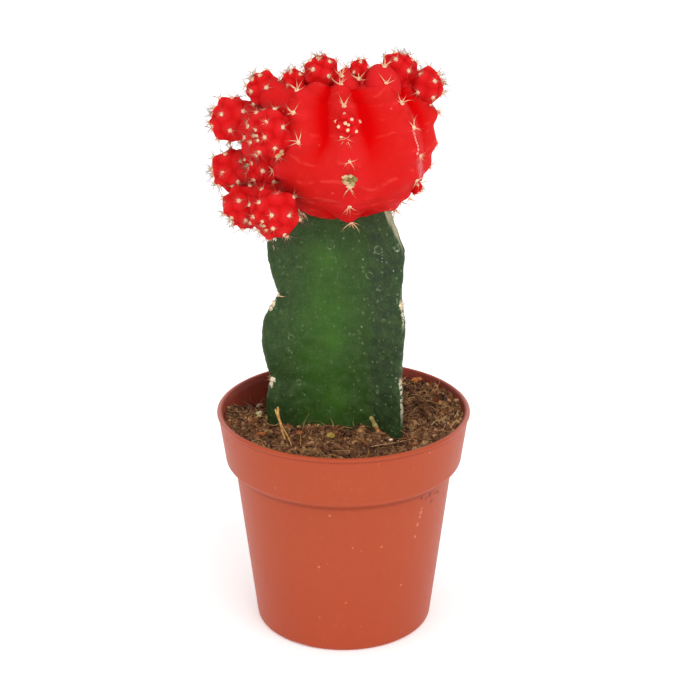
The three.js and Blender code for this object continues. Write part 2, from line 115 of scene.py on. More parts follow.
# Old round scars in the skin of the rootstock, places where light comes through it, and pale flecks on it:
# place and radius.
STEM_RINGS = [
    (-2.7, -1.8, 87.2, 0.85), (7.3, -5.4, 87.3, 0.85), (5.5, -4.7, 81.4, 0.75), (7.7, -5.6, 79.0, 0.55),
    (10.8, -7.3, 76.5, 0.5), (11.1, -7.4, 88.1, 0.5), (-8.6, -1.4, 85.6, 0.6), (8.6, -6.2, 72.0, 0.5),
    (3.6, -3.4, 68.4, 0.6), (-11.2, -0.4, 66.0, 0.6), (-11.6, -0.5, 62.4, 0.55),
    (-9.8, -0.2, 55.4, 0.6),
]
STEM_LIT = [(-3.9, -1.9, 84.2, 5.0), (-2.0, -1.8, 66.0, 4.0), (-1.5, -1.8, 52.5, 5.0)]
STEM_FLECKS = [
    (8.0, -5.9, 86.9, 0.16), (8.05, -5.9, 86.3, 0.13), (8.05, -5.9, 85.6, 0.16),
    (8.05, -5.9, 84.9, 0.13), (-3.9, -1.9, 84.0, 0.14), (10.4, -7.2, 83.3, 0.2),
]

# Marks on the pot, each a place and a radius: scuffs under the collar, the drip below them, pale grains.
POT_SCUFFS = [
    (20.2, -12.1, 35.0, 0.75), (19.4, -13.3, 35.4, 0.7), (18.4, -14.8, 35.6, 0.8),
    (18.8, -14.0, 33.7, 0.7), (17.5, -15.8, 35.2, 0.7), (16.6, -17.0, 35.9, 0.6),
]
POT_DRIPS = [
    (16.7, -16.3, 33.1, 0.55), (16.5, -16.4, 32.2, 0.55), (16.3, -16.4, 31.2, 0.5),
    (15.8, -16.7, 29.4, 0.6), (15.3, -16.6, 26.5, 0.5),
]
POT_GRAINS = [
    (-0.9, -26.3, 44.3, 0.35), (1.7, -25.9, 42.3, 0.42), (-2.8, -23.4, 34.9, 0.4),
    (6.9, -24.6, 40.3, 0.3), (8.1, -21.0, 26.4, 0.4), (2.0, -22.5, 26.9, 0.3),
    (-5.2, -21.4, 21.8, 0.42), (12.4, -17.2, 15.2, 0.4), (0.5, -20.9, 12.9, 0.3),
    (-5.4, -25.8, 44.5, 0.3),
]

# The ribs of the globe: the polar angle and the azimuth of each areole, from the growing tip down.
RIBS = [
    [(21, -131), (43, -133.5), (64, -127.5), (88, -120.5), (109.5, -148), (128, -163), (147, -153)],
    [(13, -107), (27, -97), (53, -92), (83, -90.4), (97, -88.5), (111, -88), (129, -88), (152, -84)],
    [(11, -55), (32, -48), (55, -48.5), (80, -44.5), (99, -38), (116, -33.5), (131, -27), (146, -20)],
    [(29, 20), (43, 6), (62, 3), (81, 1), (101, -1), (114, -4), (127, -2), (143, 4)],
    [(20, 48), (37, 47), (55, 46), (74, 45), (93, 45), (111, 44), (128, 43), (146, 42)],
    [(18, 90), (34, 91), (52, 92), (71, 91), (90, 90), (109, 89), (127, 88), (145, 88)],
    [(21, 130), (38, 131), (56, 132), (74, 134), (92, 136), (110, 137), (127, 137), (144, 136)],
    [(18, 182), (36, 175), (56, 170), (74, 182), (92, 198), (110, 208), (128, 198), (146, 196)],
]
BUDDING_AREOLE = (111, -88)
BARE_AREOLE = (83, -90.4)

# Where the groove after each rib lies between that rib and the next one.
GROOVE_SHARES = [0.5, 0.31, 0.5, 0.5, 0.5, 0.5, 0.5, 0.5]

# A healed cut down the side of a rib, and the rosy skin below it: place and radius.
SCAR = [
    (14.0, -12.0, 114.4, 0.39), (14.15, -11.5, 113.7, 0.41), (14.3, -10.9, 113.2, 0.39),
    (14.4, -10.6, 112.6, 0.39), (14.6, -10.4, 112.0, 0.41), (14.8, -10.3, 111.4, 0.41),
    (15.0, -10.3, 110.8, 0.43), (15.1, -10.5, 110.1, 0.48), (14.95, -10.8, 109.3, 0.47),
]
SCAR_BLUSH = [
    (15.5, -9.9, 108.1, 1.3), (15.8, -6.9, 106.2, 2.6), (15.9, -5.4, 104.4, 2.4),
    (15.8, -3.1, 102.5, 1.8),
]

# The offsets that have budded from the globe: centre, radius, direction of the growing tip.
OFFSETS = [
    ((-22.7, 0.2, 113.5), 4.9, (-1.0, -0.1, 0.3)), ((-14.6, -11.0, 113.6), 4.9, (-0.75, -1.0, 0.05)),
    ((-23.1, -0.8, 103.1), 4.4, (-1.0, -0.2, -0.2)), ((-20.2, -4.6, 96.5), 4.7, (-0.9, -0.5, -0.7)),
    ((-13.8, -10.6, 96.8), 5.2, (-0.6, -1.0, -0.45)), ((-15.8, -3.0, 105.6), 5.0, (-1.0, -0.6, -0.1)),
    ((-16.2, -0.8, 120.2), 3.6, (-0.8, -0.2, 0.8)), ((-9.9, -3.4, 122.6), 2.4, (-0.35, -0.3, 1.0)),
    ((-4.4, -2.2, 123.8), 3.6, (-0.1, -0.25, 1.0)), ((3.3, -2.6, 124.6), 2.2, (0.1, -0.2, 1.0)),
    ((11.2, 1.6, 123.2), 4.0, (0.3, 0.0, 1.0)), ((17.0, 0.6, 120.4), 3.7, (1.0, -0.15, 0.35)),
    ((0.9, -16.5, 116.4), 2.4, (0.0, -1.0, 0.35)), ((15.0, -3.6, 100.2), 1.5, (0.9, -0.5, -0.3)),
    ((12.0, 14.2, 117.6), 4.3, (0.5, 1.0, 0.5)), ((-8.4, 16.2, 115.0), 4.0, (-0.4, 1.0, 0.3)),
    ((-17.6, 9.6, 107.6), 4.5, (-1.0, 0.6, 0.0)), ((9.4, 17.0, 105.0), 3.7, (0.5, 1.0, -0.1)),
    ((-3.4, 17.4, 102.6), 3.3, (-0.2, 1.0, -0.3)),
]

# Humps where the ribs swell, two at the crown and one at the side: centre and half sizes.
HUMPS = [
    ((7.9, -3.0, 120.6), (3.9, 5.5, 5.3)), ((0.7, -2.7, 120.9), (2.9, 4.6, 3.7)),
    ((-17.8, -4.0, 108.6), (3.0, 3.0, 3.0)),
]
# The areoles of the humps at the crown: place and facing.
HUMP_AREOLES = [
    ((8.3, -4.6, 125.6), (0.1, -0.5, 1.0)), ((-0.3, -5.4, 123.8), (-0.1, -0.6, 0.8)),
    ((3.2, -5.2, 123.2), (0.0, -1.0, 0.5)),
]

# How far an offset's areoles reach from its growing tip, in degrees, and how many there are per millimetre
# of its radius.
OFFSET_REACH = 132
OFFSET_DENSITY = 4.3

# The number of the offset that has only just budded: its spines are short and few.
BUD = 12

# The thick necks of the offsets that stand clear of the globe: number of the offset, foot and radius there.
NECKS = {
    0: ((-12.0, -1.0, 111.5), 4.8),
    2: ((-13.0, -2.0, 104.5), 4.2),
    3: ((-13.0, -2.0, 100.0), 4.0),
    5: ((-11.0, -2.0, 106.0), 5.0),
    6: ((-8.5, -3.6, 116.6), 5.2),
}


def tone(red, green, blue):
    """A colour given as it looks on a screen, from 0 to 255, in the linear form that Blender keeps."""
    shares = [value / 255 for value in (red, green, blue)]
    return tuple([s / 12.92 if s <= 0.04045 else ((s + 0.055) / 1.055) ** 2.4 for s in shares] + [1.0])


# ---------- settings

def length(name, description, default):
    return FloatProperty(name=name, description=description, default=default, unit="LENGTH", precision=5)


def number(name, description, default, subtype="NONE"):
    return FloatProperty(name=name, description=description, default=default, subtype=subtype)


def colour(name, description, default):
    form = {"size": 4, "subtype": "COLOR"}
    return FloatVectorProperty(name=name, description=description, default=default, **form)


class PotSettings(PropertyGroup):
    height: length("Height", "Height of the pot over its rim", POT_TOP.z)
    rim_radius: length("Rim Radius", "Radius over the lip of the rim", POT_TOP.x)
    collar_radius: length("Collar Radius", "Radius at the lower edge of the collar", 25.95 * MM)
    body_radius: length("Body Radius", "Radius of the body just under the collar", 23.8 * MM)
    foot_radius: length("Foot Radius", "Radius of the foot ring", 19.4 * MM)
    notches: IntProperty(name="Notches", description="Number of notches in the foot ring", default=3, min=1)
    wall: length("Wall", "Thickness of the wall", 0.95 * MM)
    drain_radius: length("Drain Radius", "Radius of each drain hole", 2.2 * MM)
    drain_circle: length("Drain Circle", "Radius of the circle of drain holes", 13.2 * MM)
    drains: IntProperty(name="Drains", description="Number of drain holes", default=6, min=1)
    segments: IntProperty(name="Segments", description="Faces round the pot", default=160, min=24)
    plastic: colour("Plastic", "Colour of the plastic", tone(170, 71, 39))
    # The inside is darker than the outside: partly painted shade of the inner wall, partly the stain of wet
    # peat.
    stained: colour("Stained", "Colour of the inside, stained by wet peat", tone(146, 60, 44))


class PeatSettings(PropertyGroup):
    level: length("Level", "Mean height of the peat", 44.6 * MM)
    crumb: length("Crumb", "Mean size of a loose crumb", 0.37 * MM)
    fibre: length("Fibre", "Mean length of a loose fibre", 2.7 * MM)
    crumb_gap: length("Crumb Gap", "Least distance between two loose crumbs", 0.44 * MM)
    fibre_gap: length("Fibre Gap", "Least distance between two loose fibres", 0.52 * MM)
    seed: IntProperty(name="Seed", description="Another scatter of crumbs and fibres", default=4)
    dark: colour("Dark", "Colour of the darkest peat", tone(28, 17, 13))
    brown: colour("Brown", "Colour of most of the peat", tone(108, 70, 45))
    pale: colour("Pale", "Colour of dry fibres", tone(196, 152, 100))


class PlantSettings(PropertyGroup):
    globe_spine: length("Globe Spine", "Length of a spine on the globe", 2.9 * MM)
    offset_spine: length("Offset Spine", "Length of a spine on an offset", 2.8 * MM)
    knob: number("Knob", "Height of an offset's knobs, as a share of its radius", 0.21)
    body: number("Body", "Size of an offset between its knobs, as a share of its radius", 0.88)
    wool: length("Wool", "Radius of a woolly areole on the globe", 0.5 * MM)
    red: colour("Red", "Colour of the globe", tone(203, 30, 27))
    pink: colour("Pink", "Colour of young growth and knobs", tone(218, 44, 52))
    # The deep red is painted shade, laid in the grooves and in the creases of the offsets.
    deep: colour("Deep", "Colour in the grooves", tone(204, 1, 3))
    green: colour("Green", "Colour of the rootstock", tone(39, 65, 20))
    bright: colour("Bright", "Colour of the rootstock where light comes through", tone(47, 91, 10))
    cork: colour("Cork", "Colour of corky edges and cuts", tone(206, 196, 168))
    fleece: colour("Fleece", "Colour of areole wool", tone(250, 224, 186))
    straw: colour("Straw", "Colour of a spine at its root", tone(250, 204, 160))
    tip: colour("Tip", "Colour of a spine at its tip", tone(96, 86, 74))
    young_tip: colour("Young Tip", "Colour of a young spine at its tip", tone(98, 70, 60))


class StageSettings(PropertyGroup):
    lens: number("Lens", "Focal length of the camera in millimetres", 92.57)
    distance: length("Distance", "From the camera to the middle of the plant", 0.387)
    pitch: number("Pitch", "How far the camera looks down", math.radians(21.35), subtype="ANGLE")
    middle: length("Middle", "Height that the camera looks at", 0.0629)
    aside: length("Aside", "How far to the right the camera stands", 0.0014)
    key: number("Key", "Strength of the key light", 1.1)
    fill: number("Fill", "Strength of the fill light", 0.4)
    sky: number("Sky", "Brightness of the white surroundings", 0.86)


# ---------- small helpers

def floats(values):
    return np.asarray(values, float)


def bell(value, width):
    return np.exp(-((value / width) ** 2))


def eased(low, high, value):
    """Rises smoothly from 0 to 1 between two values."""
    share = np.clip((floats(value) - low) / (high - low), 0, 1)
    return share * share * (3 - 2 * share)


def unit(vectors):
    vectors = floats(vectors)
    return vectors / np.maximum(np.linalg.norm(vectors, axis=-1, keepdims=True), 1e-12)


def lumps(points, scale, seed):
    """Smooth random numbers from about -1 to 1, one for each point."""
    shift = Vector((seed * 17.3, seed * 5.1, seed * 9.7))
    return np.array([noise.noise(Vector(p) * scale + shift) for p in points]) * 1.6


def placed(name, data):
    """A new object in the scene."""
    made = bpy.data.objects.new(name, data)
    bpy.context.scene.collection.objects.link(made)
    return made


def mesh_object(name, points, faces, layers=None):
    """A smooth mesh object from points in millimetres, with numbers or vectors kept on its points."""
    mesh = bpy.data.meshes.new(name)
    mesh.from_pydata((floats(points) * MM).tolist(), [], [list(face) for face in faces])
    for key, values in (layers or {}).items():
        is_vector = np.ndim(values) == 2
        kept = mesh.attributes.new(key, "FLOAT_VECTOR" if is_vector else "FLOAT", "POINT")
        kept.data.foreach_set("vector" if is_vector else "value", np.ravel(values).astype(np.float32))
    smooth(mesh)
    mesh.update()
    return placed(name, mesh)


def face_outwards(made, sharp_angle=None):
    """Merges doubles, turns every face of a closed shell outwards, and keeps edges over an angle sharp."""
    work = bmesh.new()
    work.from_mesh(made.data)
    bmesh.ops.remove_doubles(work, verts=work.verts, dist=1e-7)
    bmesh.ops.recalc_face_normals(work, faces=work.faces)
    if sharp_angle is not None:
        for edge in work.edges:
            edge.smooth = edge.calc_face_angle(0.0) < math.radians(sharp_angle)
    work.to_mesh(made.data)
    work.free()
    return made


def finish_piece(made, material, replaced=None):
    """Gives a piece its material, hangs it on the empty of the body it rides on, and hides the solid part
    that it stands for.
    """
    made.data.materials.clear()
    made.data.materials.append(material)
    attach(made, BODY)
    if replaced:
        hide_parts(replaced)


def closed_piece(name, shape, material, replaced=None):
    """A finished piece from a shape of closed shells: its points, faces and perhaps layers."""
    finish_piece(face_outwards(mesh_object(name, *shape)), material, replaced)


def places_of(made):
    """The points of a mesh object in millimetres."""
    return np.array([v.co for v in made.data.vertices]) / MM


def smooth(mesh):
    mesh.polygons.foreach_set("use_smooth", [True] * len(mesh.polygons))


def grid_faces(rows, columns):
    """Faces between rows of points that close on themselves sideways."""
    row, column = np.meshgrid(np.arange(rows - 1), np.arange(columns), indexing="ij")
    right = (column + 1) % columns
    low = row * columns
    corners = [low + column, low + right, low + columns + right, low + columns + column]
    return np.stack([c.ravel() for c in corners], axis=1).tolist()


def closed_rings(rings, first, last):
    """Points and faces of a closed skin over rings of points, with an end point at each end."""
    rings = floats(rings)
    rows, columns = rings.shape[:2]
    points = np.vstack([rings.reshape(-1, 3), [first], [last]])
    faces = grid_faces(rows, columns)
    top = (rows - 1) * columns
    for column in range(columns):
        right = (column + 1) % columns
        faces.append([rows * columns, right, column])
        faces.append([rows * columns + 1, top + column, top + right])
    return points, faces


def tube(path, radii, sides=8, flatten=1.0):
    """Points and faces of a round or flattened tube along a path, closed at both ends."""
    path = floats(path)
    along = unit(np.gradient(path, axis=0))
    helper = np.array([0.0, 1.0, 0.0]) if abs(along[0][1]) < 0.8 else np.array([1.0, 0.0, 0.0])
    side = unit(np.cross(along, helper))
    up = np.cross(side, along)
    turns = np.arange(sides) * 2 * math.pi / sides
    ring = np.cos(turns)[None, :, None] * side[:, None, :]
    ring = ring + flatten * np.sin(turns)[None, :, None] * up[:, None, :]
    rings = path[:, None, :] + floats(radii)[:, None, None] * ring
    return closed_rings(rings, path[0], path[-1])


def plain_ball(detail):
    """Points and faces of a ball of radius 1 made of even triangles."""
    work = bmesh.new()
    bmesh.ops.create_icosphere(work, subdivisions=detail, radius=1.0)
    points = np.array([v.co for v in work.verts])
    faces = [[v.index for v in face.verts] for face in work.faces]
    work.free()
    return points, faces


def joined(parts):
    """Several (points, faces, layers) as one."""
    points, faces, layers, start = [], [], {}, 0
    for part_points, part_faces, part_layers in parts:
        points.append(floats(part_points))
        faces += [[start + i for i in face] for face in part_faces]
        for key, values in part_layers.items():
            layers.setdefault(key, []).append(floats(values))
        start += len(part_points)
    return np.vstack(points), faces, {key: np.concatenate(values) for key, values in layers.items()}


def bezier(corners, share):
    a, b, c, d = [floats(corner) for corner in corners]
    t = floats(share)[:, None]
    return a * (1 - t) ** 3 + 3 * b * t * (1 - t) ** 2 + 3 * c * t * t * (1 - t) + d * t ** 3


def rounded(corners, steps=4):
    """An outline from corners (across, up, rounding), each turned into a small curve."""
    corners = floats(corners)
    made = [corners[0][:2]]
    for before, corner, after in zip(corners, corners[1:], corners[2:]):
        back = before[:2] - corner[:2]
        ahead = after[:2] - corner[:2]
        cut = min(corner[2], 0.45 * np.linalg.norm(back), 0.45 * np.linalg.norm(ahead))
        if cut <= 0:
            made.append(corner[:2])
            continue
        start = corner[:2] + unit(back) * cut
        end = corner[:2] + unit(ahead) * cut
        for t in np.linspace(0, 1, steps + 1):
            made.append(start * (1 - t) ** 2 + 2 * corner[:2] * t * (1 - t) + end * t * t)
    made.append(corners[-1][:2])
    return np.array(made)


def turn_to(direction):
    """The matrix that turns +Z to a direction by the shortest way."""
    return Vector((0, 0, 1)).rotation_difference(Vector(direction).normalized()).to_matrix()


# ---------- node helpers

class Graph:
    """Adds nodes to a shader or geometry tree. An input is a value or another node's socket."""

    def __init__(self, tree):
        self.tree = tree

    def add(self, kind, inputs=None, **settings):
        node = self.tree.nodes.new(kind)
        for key, value in settings.items():
            setattr(node, key, value)
        for key, value in (inputs or {}).items():
            self.feed(node.inputs[key], value)
        return node

    def first(self, kind, inputs=None, **settings):
        """Adds a node and gives its first output."""
        return self.add(kind, inputs, **settings).outputs[0]

    def feed(self, socket, value):
        if isinstance(value, bpy.types.NodeSocket):
            self.tree.links.new(value, socket)
        elif value is not None:
            socket.default_value = value

    def math(self, operation, first, second=0.0, clamp=False):
        return self.first("ShaderNodeMath", {0: first, 1: second}, operation=operation, use_clamp=clamp)

    def times(self, first, second):
        return self.math("MULTIPLY", first, second)

    def plus(self, first, second):
        return self.math("ADD", first, second)

    def minus(self, first, second):
        return self.math("SUBTRACT", first, second)

    def vector(self, operation, first, second=None):
        return self.first("ShaderNodeVectorMath", {0: first, 1: second}, operation=operation)

    def scaled(self, vector, factor):
        return self.first("ShaderNodeVectorMath", {0: vector, 3: factor}, operation="SCALE")

    def combine(self, x, y, z):
        return self.first("ShaderNodeCombineXYZ", {0: x, 1: y, 2: z})

    def separate(self, vector):
        return self.add("ShaderNodeSeparateXYZ", {0: vector}).outputs

    def mix(self, factor, first, second):
        """Mixes two colours."""
        return self.add("ShaderNodeMix", {0: factor, 6: first, 7: second}, data_type="RGBA").outputs[2]

    def tint(self, base, mask, share, over):
        """Lays a colour over a base where a mask is 1, up to a share."""
        return self.mix(self.times(mask, share), base, over)

    def ramp(self, value, low, high, bottom=0.0, top=1.0):
        """Rises smoothly from bottom to top between two values."""
        inputs = {0: value, 1: low, 2: high, 3: bottom, 4: top}
        return self.first("ShaderNodeMapRange", inputs, interpolation_type="SMOOTHSTEP")

    def away(self, place, mark):
        """How far a place is from a mark, which is given in millimetres."""
        inputs = {0: place, 1: tuple(value * MM for value in mark)}
        return self.add("ShaderNodeVectorMath", inputs, operation="DISTANCE").outputs["Value"]

    def spots(self, place, marks, edge=0.4):
        """1 in the middle of some marks, each a place and a radius in millimetres, and 0 outside them."""
        mask = 0.0
        for *mark, radius in marks:
            inside = self.ramp(self.away(place, mark), radius * MM, edge * radius * MM)
            mask = self.math("MAXIMUM", mask, inside)
        return mask

    def circles(self, place, marks, width):
        """1 on circles, each round a place with a radius in millimetres, and 0 off them."""
        mask = 0.0
        for *mark, radius in marks:
            off = self.math("ABSOLUTE", self.minus(self.away(place, mark), radius * MM))
            mask = self.math("MAXIMUM", mask, self.ramp(off, width * MM, 0.25 * width * MM))
        return mask

    def use(self, tree, inputs):
        """Places a shared shader group and gives its first output."""
        node = self.tree.nodes.new("ShaderNodeGroup")
        node.node_tree = tree
        for key, value in inputs.items():
            self.feed(node.inputs[key], value)
        return node.outputs[0]

    def patches(self, place, per_metre, low, high):
        """Soft cloudy patches over a surface."""
        inputs = {"Vector": place, "Per Metre": per_metre, "From": low, "To": high}
        return self.use(patches_group(), inputs)

    def dots(self, place, per_metre, size, share):
        """Small dots scattered over a surface."""
        inputs = {"Vector": place, "Per Metre": per_metre, "Size": size, "Share": share}
        return self.use(dots_group(), inputs)

    def relief(self, place, per_metre, strength, depth, height=None):
        """The normal of a finely uneven surface."""
        inputs = {"Vector": place, "Per Metre": per_metre, "Strength": strength, "Depth": depth}
        inputs["Extra Height"] = height
        return self.use(relief_group(), inputs)

    def noise(self, place, scale, detail, **more):
        return self.first("ShaderNodeTexNoise", {"Vector": place, "Scale": scale, "Detail": detail, **more})

    def drawn_out(self, place, across, along, detail):
        """Noise that is drawn out upwards into streaks."""
        inputs = {"Vector": place, "Scale": (across, across, along)}
        stretch = self.first("ShaderNodeMapping", inputs, vector_type="POINT")
        return self.noise(stretch, 1.0, detail)

    def layer(self, name):
        """In a material, a number that the mesh carries."""
        return self.add("ShaderNodeAttribute", attribute_name=name).outputs["Fac"]

    def named(self, name, kind="FLOAT"):
        """In a geometry tree, a number or vector that the geometry carries."""
        return self.first("GeometryNodeInputNamedAttribute", {"Name": name}, data_type=kind)

    def store(self, geometry, name, value, domain="POINT"):
        inputs = {"Geometry": geometry, "Name": name, "Value": value}
        settings = {"data_type": "FLOAT", "domain": domain}
        return self.first("GeometryNodeStoreNamedAttribute", inputs, **settings)

    def random(self, low, high, seed, step):
        """A random number for each element, different for each step."""
        inputs = {2: low, 3: high, 8: self.plus(seed, step)}
        return self.add("FunctionNodeRandomValue", inputs, data_type="FLOAT").outputs[1]

    def random_vector(self, low, high, seed, step):
        inputs = {0: (low,) * 3, 1: (high,) * 3, 8: self.plus(seed, step)}
        return self.first("FunctionNodeRandomValue", inputs, data_type="FLOAT_VECTOR")

    def random_turn(self, seed, step):
        return self.random(0.0, 6.28, seed, step)

    def sampled(self, geometry, value, index, kind="FLOAT_VECTOR"):
        """A value of one point of a geometry."""
        inputs = {"Geometry": geometry, "Value": value, "Index": index}
        return self.first("GeometryNodeSampleIndex", inputs, data_type=kind)

    def pointing(self, direction, spin):
        """A rotation that turns +Z to a direction, after a spin about +Z."""
        align = self.first("FunctionNodeAlignRotationToVector", {"Vector": direction}, axis="Z")
        turn = self.first("FunctionNodeAxisAngleToRotation", {"Axis": (0, 0, 1), "Angle": spin})
        inputs = {"Rotation": align, "Rotate By": turn}
        return self.first("FunctionNodeRotateRotation", inputs, rotation_space="LOCAL")

    def strand(self, bend, thickness, taper):
        """A bent tapering strand one metre long that rises from the origin, with its length kept as along."""
        inputs = {"Resolution": 4, "Start": (0, 0, 0), "Middle": bend, "End": (0, 0, 1)}
        line = self.first("GeometryNodeCurveQuadraticBezier", inputs)
        along = self.add("GeometryNodeSplineParameter").outputs["Factor"]
        line = self.store(line, "along", along)
        width = self.times(self.ramp(along, 1.02, 0.0, taper, 1.0), thickness)
        profile = self.first("GeometryNodeCurvePrimitiveCircle", {"Resolution": 3, "Radius": 1.0})
        inputs = {"Curve": line, "Profile Curve": profile, "Scale": width, "Fill Caps": True}
        return self.first("GeometryNodeCurveToMesh", inputs)

    def strewn(self, ground, gap, density, seed):
        """Points strewn over a ground, at least a gap apart, thicker where its attribute open is larger."""
        inputs = {"Mesh": ground, "Distance Min": gap, "Density Max": density}
        inputs.update({"Density Factor": self.named("open"), "Seed": seed})
        return self.first("GeometryNodeDistributePointsOnFaces", inputs, distribute_method="POISSON")

    def copies(self, points, instance, rotation=None, scale=None):
        """Copies of a geometry on some points."""
        inputs = {"Points": points, "Instance": instance, "Rotation": rotation, "Scale": scale}
        return self.first("GeometryNodeInstanceOnPoints", inputs)

    def together(self, *geometries):
        """Several geometries as one."""
        joint = self.add("GeometryNodeJoinGeometry")
        for geometry in geometries:
            self.feed(joint.inputs[0], geometry)
        return joint.outputs[0]

    def shaken(self, instances, per_metre, reach):
        """Realizes instances and moves their points about by noise."""
        real = self.first("GeometryNodeRealizeInstances", {0: instances})
        place = self.first("GeometryNodeInputPosition")
        inputs = {"Vector": place, "Scale": per_metre, "Detail": 1.0}
        rough = self.add("ShaderNodeTexNoise", inputs).outputs[1]
        rough = self.scaled(self.vector("SUBTRACT", rough, (0.5, 0.5, 0.5)), reach)
        return self.first("GeometryNodeSetPosition", {"Geometry": real, "Offset": rough})

    def closed_by(self, geometry, given, made):
        """Realizes instances and sets the material, as the last two nodes of the tree, and gives the tree."""
        real = self.first("GeometryNodeRealizeInstances", {"Geometry": geometry})
        inputs = {"Geometry": real, "Material": given["Material"]}
        self.feed(made[0], self.first("GeometryNodeSetMaterial", inputs))
        return self.tree


def new_group(name, kind, inputs, outputs):
    """An empty node group with its sockets, each a (name, socket type, default)."""
    tree = bpy.data.node_groups.new(name, kind)
    for label, socket_type, default in inputs:
        socket = tree.interface.new_socket(name=label, in_out="INPUT", socket_type=socket_type)
        if default is not None:
            socket.default_value = default
    for label, socket_type in outputs:
        tree.interface.new_socket(name=label, in_out="OUTPUT", socket_type=socket_type)
    graph = Graph(tree)
    return tree, graph, graph.add("NodeGroupInput").outputs, graph.add("NodeGroupOutput").inputs


def geometry_group(name, inputs):
    """An empty geometry tree that takes and gives one geometry: its graph, its inputs and its output."""
    inputs = [("Geometry", "NodeSocketGeometry", None)] + inputs + [("Material", "NodeSocketMaterial", None)]
    return new_group(name, "GeometryNodeTree", inputs, [("Geometry", "NodeSocketGeometry")])[1:]


def grown(source, tree, values):
    """The plain mesh object that a geometry tree makes from a source object, which it uses up."""
    name = source.name
    modifier = source.modifiers.new(tree.name, "NODES")
    modifier.node_group = tree
    for item in tree.interface.items_tree:
        if item.item_type == "SOCKET" and item.in_out == "INPUT" and item.name in values:
            modifier[item.identifier] = values[item.name]
    depsgraph = bpy.context.evaluated_depsgraph_get()
    mesh = bpy.data.meshes.new_from_object(source.evaluated_get(depsgraph), depsgraph=depsgraph)
    source.modifiers.remove(modifier)
    bpy.data.objects.remove(source)
    mesh.name = name
    return placed(name, mesh)


# ---------- shared shader groups

FLOAT = "NodeSocketFloat"
VECTOR = "NodeSocketVector"
WHOLE = "NodeSocketInt"


def dots_group():
    """Small scattered dots: a mask that is 1 inside a dot."""
    name = "scattered dots"
    if name in bpy.data.node_groups:
        return bpy.data.node_groups[name]
    inputs = [("Vector", VECTOR, None), ("Per Metre", FLOAT, 400.0)]
    inputs += [("Size", FLOAT, 0.2), ("Share", FLOAT, 0.5)]
    tree, g, given, made = new_group(name, "ShaderNodeTree", inputs, [("Mask", FLOAT)])
    cells = g.add("ShaderNodeTexVoronoi", {"Vector": given["Vector"], "Scale": given["Per Metre"]})
    chosen = g.add("ShaderNodeSeparateColor", {0: cells.outputs["Color"]}).outputs
    size = g.times(given["Size"], g.ramp(chosen[1], 0.0, 1.0, 0.4, 1.3))
    inside = g.math("SUBTRACT", 1.0, g.math("DIVIDE", cells.outputs["Distance"], size), clamp=True)
    kept = g.math("LESS_THAN", chosen[0], given["Share"])
    g.feed(made["Mask"], g.times(g.ramp(inside, 0.0, 0.6), kept))
    return tree


def patches_group():
    """Soft cloudy patches: a mask from 0 to 1."""
    name = "cloudy patches"
    if name in bpy.data.node_groups:
        return bpy.data.node_groups[name]
    inputs = [("Vector", VECTOR, None), ("Per Metre", FLOAT, 100.0), ("From", FLOAT, 0.4), ("To", FLOAT, 0.6)]
    tree, g, given, made = new_group(name, "ShaderNodeTree", inputs, [("Mask", FLOAT)])
    cloud = g.noise(given["Vector"], given["Per Metre"], 4.0, Roughness=0.6)
    g.feed(made["Mask"], g.ramp(cloud, given["From"], given["To"]))
    return tree


def relief_group():
    """Fine surface relief: a normal from noise at two scales and a height of the material's own."""
    name = "fine relief"
    if name in bpy.data.node_groups:
        return bpy.data.node_groups[name]
    inputs = [("Vector", VECTOR, None), ("Per Metre", FLOAT, 900.0), ("Strength", FLOAT, 0.2)]
    inputs += [("Depth", FLOAT, 0.0001), ("Extra Height", FLOAT, 0.0)]
    tree, g, given, made = new_group(name, "ShaderNodeTree", inputs, [("Normal", VECTOR)])
    place = given["Vector"]
    coarse = g.noise(place, given["Per Metre"], 3.0)
    fine = g.noise(place, g.times(given["Per Metre"], 4.0), 2.0)
    height = g.plus(coarse, g.times(fine, 0.35))
    height = g.plus(height, given["Extra Height"])
    inputs = {"Strength": given["Strength"], "Distance": given["Depth"], "Height": height}
    g.feed(made["Normal"], g.first("ShaderNodeBump", inputs))
    return tree


def new_material(name, roughness, specular):
    """A material with its graph, its surface shader's inputs and its object coordinates."""
    material = bpy.data.materials.new(name)
    material.use_nodes = True
    graph = Graph(material.node_tree)
    shader = material.node_tree.nodes["Principled BSDF"].inputs
    shader["Roughness"].default_value = roughness
    shader["Specular IOR Level"].default_value = specular
    return material, graph, shader, graph.add("ShaderNodeTexCoord").outputs["Object"]


def dress(g, shader, colour, roughness, relief):
    """Feeds a shader its colour, its roughness as (mask, where it is 0, where it is 1), and its relief."""
    mask, smooth, rough = roughness
    g.feed(shader["Base Color"], colour)
    g.feed(shader["Roughness"], g.ramp(mask, 0.0, 1.0, smooth, rough))
    g.feed(shader["Normal"], g.relief(*relief))


def let_light_in(shader, weight, depth):
    """Lets light into a surface: how much, and how deep it goes in metres."""
    shader["Subsurface Weight"].default_value = weight
    shader["Subsurface Scale"].default_value = depth
    shader["Subsurface Radius"].default_value = (1.0, 0.35, 0.25)


# ---------- materials

